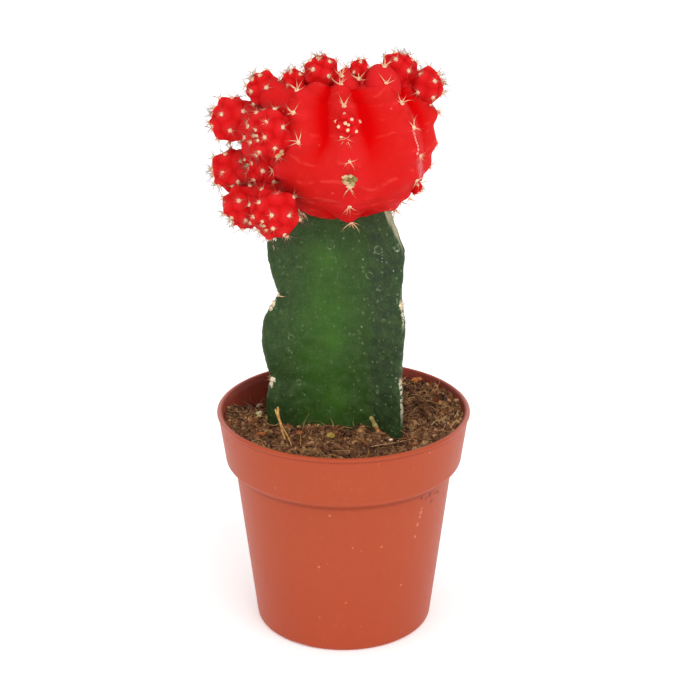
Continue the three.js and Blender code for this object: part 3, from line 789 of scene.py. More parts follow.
def pot_plastic(settings):
    material, g, shader, place = new_material("pot_plastic", 0.46, 0.2)
    height = g.separate(place)[2]
    inside = g.layer("inside")
    cloud = g.patches(place, 60.0, 0.3, 0.72)
    worn = g.patches(place, 420.0, 0.52, 0.75)
    dust = g.dots(place, 560.0, 0.15, 0.14)
    broken = g.patches(place, 900.0, 0.42, 0.56)
    plastic = g.tint(settings.plastic, cloud, 0.35, tone(163, 67, 37))
    plastic = g.tint(plastic, worn, 0.1, tone(196, 104, 70))
    plastic = g.tint(plastic, dust, 0.35, tone(216, 150, 110))
    # Painted shade: the plastic turns darker and redder towards the foot.
    lower = g.ramp(height, 0.036, 0.0)
    plastic = g.tint(plastic, lower, 0.5, tone(164, 62, 32))
    # Painted shade: a dark line under the lip.
    painted_shade_under_lip = g.times(g.ramp(height, 0.0482, 0.0487), g.ramp(height, 0.0491, 0.0488))
    plastic = g.tint(plastic, painted_shade_under_lip, 0.45, tone(132, 44, 22))
    # Painted highlight: a paler line along the top edge of the lip.
    plastic = g.mix(g.ramp(height, 0.0495, 0.04985, 0.0, 0.4), plastic, tone(214, 124, 92))
    # Painted sheen: the top of the rim turns a paler grey-pink at its left and right ends.
    aside = g.math("ABSOLUTE", g.separate(place)[0])
    painted_sheen_at_sides = g.times(g.ramp(aside, 0.02, 0.0275), g.ramp(height, 0.0486, 0.0492))
    plastic = g.tint(plastic, painted_sheen_at_sides, 0.45, tone(190, 138, 128))
    # Painted shade: a dark line under the collar.
    painted_shade_under_collar = g.times(g.ramp(height, 0.0358, 0.0368), g.ramp(height, 0.0377, 0.0372))
    plastic = g.tint(plastic, painted_shade_under_collar, 0.5, tone(122, 42, 22))
    scuffs = g.times(g.spots(place, POT_SCUFFS), broken)
    plastic = g.tint(plastic, scuffs, 0.7, tone(72, 36, 26))
    drips = g.times(g.spots(place, POT_DRIPS), g.ramp(broken, 0.0, 1.0, 0.35, 1.0))
    plastic = g.tint(plastic, drips, 0.4, tone(222, 158, 132))
    plastic = g.tint(plastic, g.spots(place, POT_GRAINS), 0.4, tone(232, 142, 92))
    # The inside's colour with cloudy patches: partly painted shade, partly stain.
    stain = g.patches(place, 150.0, 0.35, 0.7)
    lining = g.tint(settings.stained, stain, 0.5, tone(112, 44, 34))
    dress(g, shader, g.mix(inside, plastic, lining), (worn, 0.42, 0.54), (place, 800.0, 0.12, 0.00005))
    let_light_in(shader, 0.06, 0.001)
    return material


def peat(settings):
    material, g, shader, place = new_material("peat", 0.85, 0.25)
    tint = g.layer("tint")
    grain = g.patches(place, 700.0, 0.35, 0.65)
    clods = g.patches(place, 160.0, 0.35, 0.65)
    dry = g.ramp(g.separate(place)[0], -0.004, 0.02, 0.0, 0.05)
    share = g.plus(g.times(grain, 0.36), g.times(clods, 0.2))
    share = g.plus(g.plus(share, dry), g.times(tint, 0.62))
    ground = g.mix(g.ramp(share, 0.12, 0.58), settings.dark, settings.brown)
    ground = g.mix(g.ramp(share, 0.62, 1.0, 0.0, 0.9), ground, settings.pale)
    rust = g.patches(place, 380.0, 0.52, 0.68)
    ground = g.tint(ground, rust, 0.4, tone(160, 86, 42))
    dress(g, shader, ground, (grain, 0.95, 0.72), (place, 1500.0, 0.7, 0.0003))
    return material


def green_skin(settings):
    material, g, shader, place = new_material("green_skin", 0.45, 0.2)
    from_crest = g.layer("from_crest")
    cloud = g.patches(place, 90.0, 0.32, 0.68)
    mottle = g.patches(place, 520.0, 0.36, 0.68)
    fine = g.patches(place, 1500.0, 0.4, 0.66)
    # Painted light: a brighter green round the middle of the front faces, and brighter spots on them.
    skin = g.mix(g.layer("bright"), settings.green, settings.bright)
    skin = g.tint(skin, cloud, 0.45, tone(34, 56, 22))
    skin = g.tint(skin, g.spots(place, STEM_LIT, 0.0), 0.5, tone(60, 108, 18))
    # Painted shade: the flanks of the wings are darker, most on the wing that turns from the light.
    margin = g.times(g.layer("margin"), g.ramp(mottle, 0.0, 1.0, 1.0, 0.8))
    skin = g.tint(skin, margin, 0.9, tone(36, 52, 30))
    skin = g.tint(skin, mottle, 0.24, tone(70, 96, 46))
    skin = g.tint(skin, fine, 0.14, tone(86, 110, 64))
    toward_edge = g.ramp(g.separate(place)[0], -0.002, 0.009, 0.5, 1.0)
    wisps = g.math("ABSOLUTE", g.minus(g.noise(place, 800.0, 4.0, Distortion=2.5), 0.5))
    wisps = g.times(g.ramp(wisps, 0.02, 0.0), g.ramp(mottle, 0.3, 0.8))
    skin = g.tint(skin, wisps, 0.28, tone(104, 130, 84))
    specks = g.dots(place, 1000.0, 0.34, 0.6)
    specks = g.times(specks, toward_edge)
    flecks = g.dots(place, 560.0, 0.15, 0.3)
    flecks = g.times(flecks, toward_edge)
    skin = g.tint(skin, specks, 0.5, tone(116, 134, 96))
    skin = g.tint(skin, flecks, 0.6, tone(170, 182, 150))
    cells = g.add("ShaderNodeTexVoronoi", {"Vector": place, "Scale": 300.0}).outputs
    ring = g.math("ABSOLUTE", g.minus(cells["Distance"], 0.24))
    ring = g.times(g.ramp(ring, 0.05, 0.0), g.math("LESS_THAN", g.separate(cells["Color"])[0], 0.1))
    ring = g.times(ring, g.ramp(mottle, 0.1, 0.5))
    arcs = g.patches(place, 900.0, 0.45, 0.56)
    old = g.times(g.circles(place, STEM_RINGS, 0.24), g.ramp(arcs, 0.0, 1.0, 0.1, 1.0))
    ring = g.math("MAXIMUM", g.times(ring, g.times(arcs, 0.7)), old)
    skin = g.tint(skin, ring, 0.36, tone(136, 156, 120))
    skin = g.tint(skin, g.spots(place, STEM_FLECKS), 0.75, tone(186, 196, 170))
    lines = g.drawn_out(place, 1100.0, 260.0, 1.0)
    skin = g.mix(g.ramp(lines, 0.7, 0.8, 0.0, 0.2), skin, tone(104, 126, 88))
    broken = g.patches(place, 1500.0, 0.48, 0.54)
    horn = g.times(g.ramp(from_crest, 0.0006, 0.0003), g.layer("horn"))
    horn = g.times(horn, broken)
    # Painted highlight: a paler green line along the crest of each wing.
    rim = g.times(g.ramp(from_crest, 0.0004, 0.0), g.ramp(mottle, 0.3, 0.8, 0.0, 0.5))
    skin = g.mix(rim, skin, tone(112, 122, 86))
    skin = g.mix(horn, skin, settings.cork)
    inner = g.times(g.ramp(from_crest, 0.00095, 0.0007), g.ramp(cloud, 0.0, 1.0, 0.75, 1.0))
    cork = g.tint(settings.cork, mottle, 0.4, tone(158, 142, 108))
    cork = g.mix(inner, cork, g.mix(mottle, tone(132, 134, 100), tone(176, 172, 144)))
    cork = g.tint(cork, fine, 0.3, tone(120, 108, 76))
    skin = g.mix(g.layer("cut"), skin, cork)
    height = g.plus(g.times(specks, 0.6), g.times(ring, 0.5))
    dress(g, shader, skin, (mottle, 0.4, 0.55), (place, 900.0, 0.3, 0.00012, height))
    let_light_in(shader, 0.05, 0.001)
    return material


def red_skin(settings):
    material, g, shader, place = new_material("red_skin", 0.5, 0.012)
    groove = g.layer("groove")
    knob = g.layer("knob")
    young = g.layer("young")
    fall = g.layer("fall")
    cloud = g.patches(place, 110.0, 0.35, 0.68)
    grain = g.patches(place, 1400.0, 0.4, 0.7)
    skin = g.tint(settings.red, cloud, 0.3, tone(197, 19, 17))
    # Painted shade: the globe darkens towards its underside.
    skin = g.mix(g.ramp(fall, 108.0, 150.0, 0.0, 0.4), skin, tone(178, 14, 17))
    # Young growth is pinker of its own, and the pink on the knobs is partly painted highlight.
    rosy = g.plus(g.times(knob, 0.35), g.times(young, 0.3))
    skin = g.mix(rosy, skin, settings.pink)
    wander = g.noise(place, 150.0, 3.0)
    slant = g.times(g.math("ABSOLUTE", g.layer("aside")), 2.2)
    band = g.plus(g.times(fall, 0.42), g.times(wander, 6.0))
    band = g.ramp(g.math("SINE", g.plus(band, slant)), 0.76, 1.0)
    gaps = g.patches(place, 260.0, 0.45, 0.6)
    band = g.times(g.times(band, gaps), g.minus(1.0, young))
    skin = g.tint(skin, band, 0.34, tone(232, 76, 66))
    sheen = g.patches(place, 240.0, 0.5, 0.72)
    skin = g.tint(skin, sheen, 0.16, tone(228, 60, 54))
    dots = g.dots(place, 420.0, 0.14, 0.16)
    skin = g.tint(skin, dots, 0.55, tone(240, 120, 100))
    skin = g.tint(skin, grain, 0.1, tone(232, 44, 36))
    # Painted shade: the grooves and the creases between knobs take the deep red, and their deepest parts a
    # darker red.
    deep = g.times(g.ramp(groove, 0.0, 0.75), g.ramp(young, 0.0, 1.0, 1.0, 0.5))
    skin = g.mix(deep, skin, settings.deep)
    shaded = g.times(g.ramp(groove, 0.6, 1.05), g.ramp(young, 0.0, 1.0, 0.1, 0.5))
    skin = g.mix(shaded, skin, tone(150, 0, 4))
    cut = g.times(g.spots(place, SCAR, 0.3), g.ramp(wander, 0.36, 0.5, 0.4, 0.85))
    blush = g.times(g.spots(place, SCAR_BLUSH, 0.0), 0.75)
    skin = g.mix(g.times(blush, g.minus(1.0, young)), skin, tone(212, 112, 118))
    skin = g.mix(g.times(cut, g.minus(1.0, young)), skin, tone(240, 170, 156))
    height = g.plus(g.times(band, 0.5), g.times(dots, 0.5))
    dress(g, shader, skin, (grain, 0.45, 0.56), (place, 1300.0, 0.2, 0.0001, height))
    let_light_in(shader, 0.12, 0.0015)
    return material


def spine_horn(settings, name, pale, tip, streaked):
    """Spines that are pale up to a share of their length, and dusky from there to the tip."""
    material, g, shader, place = new_material(name, 0.5, 0.4)
    along = g.layer("along")
    streak = g.patches(place, 1500.0, 0.35, 0.65)
    horn = g.mix(g.ramp(along, pale, pale + 0.4), settings.straw, tip)
    horn = g.tint(horn, streak, 0.25, streaked)
    horn = g.tint(horn, g.layer("tint"), 0.3, streaked)
    dress(g, shader, horn, (streak, 0.45, 0.6), (place, 3000.0, 0.2, 0.00004))
    return material


def areole_felt(name, fleece, dusk):
    """The felt of an areole, from its pale wool to the tone of its depths."""
    material, g, shader, place = new_material(name, 0.9, 0.15)
    tuft = g.patches(place, 2600.0, 0.35, 0.7)
    felt = g.tint(fleece, tuft, 0.35, dusk)
    felt = g.tint(felt, g.layer("tint"), 0.3, tone(200, 156, 112))
    dress(g, shader, felt, (tuft, 0.8, 1.0), (place, 4000.0, 0.5, 0.0001))
    shader["Sheen Weight"].default_value = 0.3
    return material


def dry_straw():
    material, g, shader, place = new_material("straw", 0.6, 0.3)
    lines = g.drawn_out(place, 4000.0, 500.0, 2.0)
    patch = g.patches(place, 500.0, 0.45, 0.65)
    stalk = g.mix(g.ramp(lines, 0.35, 0.65), tone(176, 122, 62), tone(226, 178, 108))
    stalk = g.tint(stalk, patch, 0.4, tone(150, 96, 50))
    dress(g, shader, stalk, (lines, 0.5, 0.75), (place, 2200.0, 0.5, 0.0001, lines))
    return material


def twig_bark():
    material, g, shader, place = new_material("twig", 0.75, 0.25)
    tint = g.layer("tint")
    flakes = g.patches(place, 900.0, 0.4, 0.62)
    bark = g.mix(tint, tone(158, 84, 42), tone(170, 158, 92))
    bark = g.tint(bark, flakes, 0.55, tone(112, 74, 44))
    dots = g.dots(place, 900.0, 0.25, 0.3)
    bark = g.tint(bark, dots, 0.4, tone(214, 190, 142))
    dress(g, shader, bark, (flakes, 0.65, 0.85), (place, 1600.0, 0.6, 0.00015, flakes))
    return material


def litter_bits(name, dusk):
    """Chips of bark and stone, dry roots and dried scales: their own tones come from the pieces."""
    material, g, shader, place = new_material(name, 0.7, 0.3)
    own = g.add("ShaderNodeAttribute", attribute_name="shade").outputs["Color"]
    flakes = g.patches(place, 1100.0, 0.4, 0.65)
    bits = g.tint(own, flakes, 0.45, dusk)
    dress(g, shader, bits, (flakes, 0.6, 0.9), (place, 1500.0, 0.5, 0.00015, flakes))
    return material


def studio_floor():
    material, g, shader, place = new_material("studio_floor", 0.7, 0.2)
    cloud = g.patches(place, 3.0, 0.3, 0.7)
    g.feed(shader["Base Color"], g.mix(cloud, tone(248, 248, 248), tone(252, 252, 252)))
    shader["Emission Color"].default_value = (1, 1, 1, 1)
    shader["Emission Strength"].default_value = 0.2
    return material


# ---------- pot

# Edges of the pot over this angle stay sharp.
SHARP_ANGLE = 35


def pot_outline(pot):
    """The pot's outline, from the middle of its underside up the outside and down the inside."""
    rim, top, wall = pot.rim_radius / MM, pot.height / MM, pot.wall / MM
    collar, body, foot = pot.collar_radius / MM, pot.body_radius / MM, pot.foot_radius / MM
    outside = [
        (0.0, 0.0, 0.0), (8.5, 0.0, 0.2), (9.0, 0.8, 0.2), (foot - 2.3, 0.8, 0.25),
        (foot - 1.8, 0.0, 0.2), (foot - 0.6, 0.0, 0.3), (foot, 0.5, 0.4), (foot + 0.15, 1.4, 0.6),
        (body, 36.9, 0.5), (body + 0.75, 37.3, 0.5), (collar - 0.2, 38.3, 0.6), (collar, 39.9, 0.8),
        (rim - 0.3, 48.8, 0.25), (rim, 49.05, 0.3), (rim, top - 0.3, 0.35), (rim - 0.35, top, 0.3),
    ]
    inside = [
        (rim - 1.05, top, 0.3), (rim - 1.6, 48.3, 0.4), (collar - 1.6, 39.3, 0.8),
        (body - 0.95, 37.3, 0.8), (foot - 0.65 + 0.95 - wall, 2.1, 0.6), (foot - 1.35, 1.6, 0.4),
        (0.0, 1.6, 0.0),
    ]
    return rounded(outside + inside)


def pot_bore(heights):
    """Radius of the pot's inside at some heights."""
    return np.interp(heights, (1.6, 2.1, 37.3, 39.3, 48.3, 49.6), (18.05, 18.75, 22.85, 24.35, 25.9, 26.45))


def turned_form_tree():
    """Turns an outline round the upright axis, then cuts drains through the floor and notches in the foot."""
    inputs = [("Segments", WHOLE, 160), ("Drains", WHOLE, 6), ("Drain Radius", FLOAT, 0.002)]
    inputs += [("Drain Circle", FLOAT, 0.013), ("Notches", WHOLE, 3), ("Notch Circle", FLOAT, 0.0185)]
    inputs += [("Notch Size", VECTOR, (0.0046, 0.004, 0.001))]
    g, given, made = geometry_group("turned form", inputs)
    sizes = g.add("GeometryNodeAttributeDomainSize", {0: given["Geometry"]}, component="MESH")
    columns = g.plus(given["Segments"], 1.0)
    inputs = {"Size X": 1.0, "Size Y": 1.0, "Vertices X": sizes.outputs["Point Count"], "Vertices Y": columns}
    grid = g.first("GeometryNodeMeshGrid", inputs)
    index = g.first("GeometryNodeInputIndex")
    row = g.math("FLOOR", g.math("DIVIDE", g.plus(index, 0.5), columns))
    column = g.minus(index, g.times(row, columns))
    turn = g.times(g.math("DIVIDE", column, given["Segments"]), 2 * math.pi)
    place = g.first("GeometryNodeInputPosition")
    corner = g.separate(g.sampled(given["Geometry"], place, row))
    across = g.times(corner[0], g.math("COSINE", turn))
    deep = g.times(corner[0], g.math("SINE", turn))
    inputs = {"Geometry": grid, "Position": g.combine(across, deep, corner[2])}
    shell = g.first("GeometryNodeSetPosition", inputs)
    shell = g.first("GeometryNodeMergeByDistance", {"Geometry": shell, "Distance": 1e-7})
    circle = {"Vertices": given["Drains"], "Radius": given["Drain Circle"]}
    spots = g.first("GeometryNodeMeshCircle", circle)
    inputs = {"Geometry": spots, "Rotation": (0, 0, math.radians(30))}
    spots = g.first("GeometryNodeTransform", inputs)
    inputs = {"Vertices": 32, "Radius": given["Drain Radius"], "Depth": 0.008}
    drill = g.first("GeometryNodeMeshCylinder", inputs)
    drills = g.copies(spots, drill)
    circle = {"Vertices": given["Notches"], "Radius": given["Notch Circle"]}
    spots = g.first("GeometryNodeMeshCircle", circle)
    block = g.first("GeometryNodeMeshCube", {"Size": given["Notch Size"]})
    outwards = g.first("FunctionNodeAlignRotationToVector", {"Vector": place}, axis="X")
    cutters = g.together(drills, g.copies(spots, block, outwards))
    cutters = g.first("GeometryNodeRealizeInstances", {0: cutters})
    cut = g.first("GeometryNodeMeshBoolean", {0: shell, 1: cutters}, operation="DIFFERENCE")
    return g.closed_by(cut, given, made)


class CACTUS_OT_pot(Operator):
    """Builds the nursery pot with its drains and foot"""

    bl_idname = "cactus.pot"
    bl_label = "Pot"

    def execute(self, context):
        pot = context.scene.cactus_pot
        outline = pot_outline(pot)
        points = np.column_stack([outline[:, 0], np.zeros(len(outline)), outline[:, 1]])
        source = mesh_object("pot_shell", points, [])
        material = pot_plastic(pot)
        values = {
            "Segments": pot.segments, "Drains": pot.drains, "Drain Radius": pot.drain_radius,
            "Drain Circle": pot.drain_circle, "Notches": pot.notches,
            "Notch Circle": pot.foot_radius - 0.9 * MM, "Material": material,
        }
        made = face_outwards(grown(source, turned_form_tree(), values), SHARP_ANGLE)
        place = places_of(made)
        radius = np.hypot(place[:, 0], place[:, 1])
        lining = eased(0.15, 0.5, pot_bore(place[:, 2]) + 0.6 - radius)
        lining = lining * eased(1.3, 1.5, place[:, 2])
        inside = made.data.attributes.new("inside", "FLOAT", "POINT")
        inside.data.foreach_set("value", lining.astype(np.float32))
        finish_piece(made, material, "pot")
        return {"FINISHED"}


# ---------- peat

def bed_height(x, y, level):
    """Height of the peat over a point of the pot's floor, before its crumbs."""
    lean = math.radians(BED["lean_direction"])
    across = (x * math.cos(lean) + y * math.sin(lean)) / BED["lean_radius"]
    from_stem = np.hypot(x - STEM["axis"][0], y - STEM["axis"][1])
    mound = BED["mound"] * bell(from_stem, BED["mound_radius"])
    angles, heights = zip(*BANK)
    wall = np.interp(np.degrees(np.arctan2(y, x)), angles, heights)
    near_wall = eased(BED["bank_inner"], BED["bank_outer"], np.hypot(x, y))
    waves = np.sin(0.9 * x + 1.3) * np.cos(0.8 * y) + 0.6 * np.sin(1.7 * y - 0.6 * x)
    inner = level + BED["lean"] * across + mound
    return inner + (wall - inner) * near_wall + BED["lumps"] * waves


def crumb_relief(points):
    """Height of the crumbs that the peat is made of, and a tint for each."""
    relief = np.zeros(len(points))
    tint = np.zeros(len(points))
    for i, (x, y) in enumerate(points):
        place = Vector((x, y, 0.0))
        place += 0.7 * noise.noise_vector(place * 0.9)
        near, spots = noise.voronoi(place * 0.5)
        large = max(0.0, 1 - (near[0] / 0.6) ** 2) ** 0.5
        small_near, small_spots = noise.voronoi((place + Vector((31, 0, 4))) * 1.3)
        small = max(0.0, 1 - (small_near[0] / 0.6) ** 2) ** 0.5
        rough = noise.turbulence(place * 1.1, 3, True)
        relief[i] = 0.6 * large + 0.4 * small + 0.55 * rough
        tint[i] = 0.45 + 0.6 * noise.noise(spots[0] * 7.7) + 0.5 * noise.noise(small_spots[0] * 9.1)
    return relief - 0.95, np.clip(tint, 0, 1)


def crumbs_tree():
    """Scatters rough crumbs over a bed, thicker where its attribute open is larger."""
    inputs = [("Gap", FLOAT, 0.0006), ("Size", FLOAT, 0.0005), ("Seed", WHOLE, 1)]
    g, given, made = geometry_group("scattered crumbs", inputs)
    seed = given["Seed"]
    spots = g.strewn(given["Geometry"], given["Gap"], 3.0e6, seed)
    crumb = g.first("GeometryNodeMeshIcoSphere", {"Radius": 1.0, "Subdivisions": 1})
    turn = g.first("FunctionNodeEulerToRotation", {0: g.random_vector(-3.1, 3.1, seed, 1.0)})
    big = g.random(0.0, 1.0, seed, 2.0)
    size = g.times(g.plus(g.math("POWER", big, 4.0), 0.55), given["Size"])
    stretch = g.scaled(g.random_vector(0.35, 1.6, seed, 3.0), size)
    tint = g.math("POWER", g.random(0.0, 1.0, seed, 4.0), 1.5)
    crumbs = g.store(g.copies(spots, crumb, turn, stretch), "tint", tint, "INSTANCE")
    crumbs = g.shaken(crumbs, 1300.0, g.times(given["Size"], 2.4))
    return g.closed_by(crumbs, given, made)


def fibres_tree():
    """Scatters bent fibres over a bed, most of them lying flat."""
    inputs = [("Gap", FLOAT, 0.001), ("Length", FLOAT, 0.003), ("Seed", WHOLE, 1)]
    g, given, made = geometry_group("scattered fibres", inputs)
    seed = given["Seed"]
    spots = g.strewn(given["Geometry"], given["Gap"], 1.2e6, seed)
    wild = g.random_vector(-1.0, 1.0, seed, 1.0)
    flat = g.vector("ADD", g.vector("MULTIPLY", wild, (1.0, 1.0, 0.3)), (0.0, 0.0, 0.12))
    turn = g.pointing(flat, g.random_turn(seed, 2.0))
    size = g.times(g.random(0.35, 1.5, seed, 3.0), given["Length"])
    strand = g.strand((0.42, 0.14, 0.5), 0.026, 0.35)
    tint = g.random(0.2, 1.25, seed, 4.0)
    strands = g.store(g.copies(spots, strand, turn, size), "tint", tint, "INSTANCE")
    return g.closed_by(strands, given, made)


class CACTUS_OT_peat(Operator):
    """Builds the bed of peat with its crumbs and fibres"""

    bl_idname = "cactus.peat"
    bl_label = "Peat"

    def execute(self, context):
        settings = context.scene.cactus_peat
        level = settings.level / MM
        noise.seed_set(settings.seed)
        material = peat(settings)
        rows, columns = 76, 400
        near = BED["edge_radius"]
        turns = np.arange(columns) * 2 * math.pi / columns
        edge = pot_bore(bed_height(near * np.cos(turns), near * np.sin(turns), level)) - BED["wall_gap"]
        shares = np.linspace(1, 0, rows + 1)[:-1]
        x = np.outer(shares, edge * np.cos(turns))
        y = np.outer(shares, edge * np.sin(turns))
        relief, tint = crumb_relief(np.column_stack([x.ravel(), y.ravel()]))
        relief = relief.reshape(rows, columns)
        relief[0] = np.minimum(relief[0], 0)
        z = bed_height(x, y, level) + relief
        top = np.stack([x, y, z], axis=2)
        side = []
        for height in BED["side_heights"]:
            level_ring = np.full(columns, height)
            radius = pot_bore(level_ring) - BED["wall_gap"]
            side.append(np.column_stack([radius * np.cos(turns), radius * np.sin(turns), level_ring]))
        middle = (0, 0, float(bed_height(0.0, 0.0, level)))
        points, faces = closed_rings(np.concatenate([side, top]), (0, 0, BED["floor"]), middle)
        kept = np.concatenate([np.full(len(side) * columns, 0.3), tint, [0.3, 0.3]])
        closed_piece("peat_bed", (points, faces, {"tint": kept}), material, "soil")
        from_wall = eased(0.1, 0.7, (edge[None, :] - np.hypot(x, y)))
        outside = distance_outside_stem(x.ravel(), y.ravel(), BED["stem_level"])
        from_stem = eased(-0.5, 0.6, outside.reshape(x.shape))
        field, field_faces = closed_rings(top, middle, middle)
        open_ground = np.concatenate([(from_wall * from_stem).ravel(), [0, 0]])
        well_in = eased(0.6, 2.6, (edge[None, :] - np.hypot(x, y)))
        inner_ground = np.concatenate([(well_in * from_stem).ravel(), [0, 0]])
        field_faces = [face for face in field_faces if rows * columns not in face]
        crumbs = {"Gap": settings.crumb_gap, "Size": settings.crumb}
        fibres = {"Gap": settings.fibre_gap, "Length": settings.fibre}
        for name, tree, ground, values in (
            ("peat_crumbs", crumbs_tree(), open_ground, crumbs),
            ("peat_fibres", fibres_tree(), inner_ground, fibres),
        ):
            source = mesh_object(name, field, field_faces, {"open": ground})
            values.update({"Seed": settings.seed, "Material": material})
            made = grown(source, tree, values)
            smooth(made.data)
            finish_piece(made, material)
        return {"FINISHED"}


# ---------- rootstock

def wing_reach(wing, heights):
    """How far a wing's edge reaches from the axis of the rootstock at some heights."""
    marks = sorted(wing["notches"] + wing["swells"])
    z = np.clip(heights, marks[0][0], marks[-1][0])
    reach = np.zeros_like(z)
    for low, high in zip(marks, marks[1:]):
        notch, swell = (low, high) if low in wing["notches"] else (high, low)
        share = np.clip((z - notch[0]) / (swell[0] - notch[0]), 0, 1)
        curve = notch[1] + (swell[1] - notch[1]) * np.sin(math.pi / 2 * share) ** 0.85
        reach = np.where((z >= low[0]) & (z <= high[0]), curve, reach)
    below = STEM["top"] - heights
    bevel = STEM["bevel_top"] + STEM["bevel_slope"] * below
    reach = np.where(below < STEM["bevel_height"], np.minimum(reach, bevel), reach)
    up = np.clip((heights - STEM["bottom"]) / STEM["base_rounding"], 0, 1)
    return reach * (0.45 + 0.55 * np.sqrt(1 - (1 - up) ** 2))


def stem_ring(z, tip_steps=10, face_steps=42):
    """The outline of the rootstock at a height: its points, how far each is from the crest of the nearest
    wing's edge, that wing's number, and the place across a face."""
    tip = STEM["edge_radius"]
    quarter = tip * math.pi / 2
    points, from_crest, nearest, across = [], [], [], []
    corners = []
    for wing in WINGS:
        turn = math.radians(wing["angle"])
        out = np.array([math.cos(turn), math.sin(turn)])
        left = np.array([-out[1], out[0]])
        reach = float(wing_reach(wing, np.array([z]))[0]) - tip
        corners.append((wing, out, left, reach))
    for i, (wing, out, left, reach) in enumerate(corners):
        following = (i + 1) % len(corners)
        next_wing, next_out, next_left, next_reach = corners[following]
        centre = np.array(STEM["axis"]) + out * reach
        for turn in np.linspace(-math.pi / 2, math.pi / 2, tip_steps + 1):
            points.append(centre + tip * (out * math.cos(turn) + left * math.sin(turn)))
            from_crest.append(tip * abs(turn))
            nearest.append(i)
            across.append(0.0)
        scale = min(1.0, reach / STEM["full_reach"])
        next_scale = min(1.0, next_reach / STEM["full_reach"])
        start = centre + left * tip
        end = np.array(STEM["axis"]) + next_out * next_reach - next_left * tip
        in_a, swell_a = wing["side_a"]
        in_b, swell_b = next_wing["side_b"]
        first = start - out * in_a * scale + left * swell_a * scale
        second = end - next_out * in_b * next_scale - next_left * swell_b * next_scale
        shares = np.linspace(0, 1, face_steps + 1)[1:-1]
        face = bezier([start, first, second, end], shares)
        from_start = np.linalg.norm(face - start, axis=1)
        from_end = np.linalg.norm(face - end, axis=1)
        points += list(face)
        from_crest += list(quarter + np.minimum(from_start, from_end))
        nearest += list(np.where(from_start < from_end, i, following))
        across += list(np.sin(math.pi * shares))
    return np.array(points), np.array(from_crest), np.array(nearest), np.array(across)


def horn_share(wing, heights):
    """How horny the edge of a wing is at some heights: most just under each areole."""
    share = np.zeros_like(heights)
    for (notch, _), run in zip(wing["notches"], wing["horn"]):
        below = notch - heights
        share = np.maximum(share, eased(-1.4, -0.2, below) * eased(run, 0.4 * run, below))
    return share


def distance_outside_stem(x, y, z):
    """How far points of one level lie outside the rootstock, negative within it."""
    ring = stem_ring(z)[0]
    points = np.column_stack([x, y])
    ahead = np.roll(ring, -1, axis=0)
    nearest = np.full(len(points), 1e9)
    crossings = np.zeros(len(points), int)
    for a, b in zip(ring, ahead):
        side = b - a
        share = np.clip(((points - a) @ side) / max(side @ side, 1e-12), 0, 1)
        nearest = np.minimum(nearest, np.linalg.norm(points - a - share[:, None] * side, axis=1))
        spans = (a[1] > points[:, 1]) != (b[1] > points[:, 1])
        if spans.any():
            crossing = a[0] + (points[:, 1] - a[1]) * side[0] / (side[1] if side[1] else 1e-12)
            crossings += spans & (points[:, 0] < crossing)
    return np.where(crossings % 2 == 1, -nearest, nearest)


class CACTUS_OT_rootstock(Operator):
    """Builds the three-winged rootstock"""

    bl_idname = "cactus.rootstock"
    bl_label = "Rootstock"

    def execute(self, context):
        settings = context.scene.cactus_plant
        base = STEM["bottom"] + np.array([0.0, 0.3, 0.9, 1.8, 3.0, 4.2, 5.5, 8.0, 12.0, 16.0, 20.0, 24.0])
        heights = np.concatenate([base, np.arange(40.0, STEM["top"], 0.5), [STEM["top"]]])
        dark = np.array([wing["dark"] for wing in WINGS])
        horns = np.array([horn_share(wing, heights) for wing in WINGS])
        rings, layers = [], {"from_crest": [], "bright": [], "margin": [], "horn": [], "cut": []}
        for row, z in enumerate(heights):
            outline, from_crest, nearest, across = stem_ring(z)
            tangent = unit(np.roll(outline, -1, axis=0) - np.roll(outline, 1, axis=0))
            normal = np.column_stack([tangent[:, 1], -tangent[:, 0]])
            ring = np.column_stack([outline, np.full(len(outline), z)])
            swell = 0.3 * lumps(ring, 0.11, 2) + 0.12 * lumps(ring, 0.4, 3)
            swell = swell + 0.12 * np.exp(-from_crest / 1.2) * lumps(ring, 1.1, 4)
            ring[:, :2] += normal * swell[:, None]
            rings.append(ring)
            # Painted light: a brighter green round the middle of the faces at the front.
            lit = np.exp(-(((ring[:, 0] + 5) / 7) ** 2) - (((z - 68) / 21) ** 2))
            cut_width = 1.15 * np.array([eased(*wing["cut"], z) for wing in WINGS])[nearest]
            layers["from_crest"].append(from_crest * MM)
            layers["bright"].append(np.clip(across ** 1.2 * lit * 1.1, 0, 1))
            # Painted shade on the flanks of each wing, as strong as that wing's dark share.
            layers["margin"].append(eased(8.2, 6.4, from_crest) * dark[nearest])
            layers["horn"].append(horns[nearest, row])
            layers["cut"].append(np.clip((cut_width - from_crest) / 0.3, 0, 1))
        axis = STEM["axis"]
        points, faces = closed_rings(rings, (*axis, heights[0]), (*axis, heights[-1]))
        layers = {name: np.concatenate([np.ravel(values), [0, 0]]) for name, values in layers.items()}
        shape = (points, faces, layers)
        closed_piece("rootstock_flesh", shape, green_skin(settings), "rootstock")
        return {"FINISHED"}


# ---------- scion

def rib_azimuths(polar):
    """The azimuth of each rib's crest at some polar angles."""
    return [np.interp(polar, *zip(*rib)) for rib in RIBS]


def rib_places(polar, azimuth):
    """Where places on the globe lie between two ribs: 0 on a rib, 0.5 in the groove, 1 on the next rib."""
    crests = rib_azimuths(polar)
    place = np.zeros(polar.shape)
    for crest, following, groove in zip(crests, crests[1:] + crests[:1], GROOVE_SHARES):
        width = (following - crest) % 360
        share = (azimuth - crest) % 360 / width
        level = np.where(share < groove, 0.5 * share / groove, 0.5 + 0.5 * (share - groove) / (1 - groove))
        place = np.where(share <= 1, level, place)
    return place


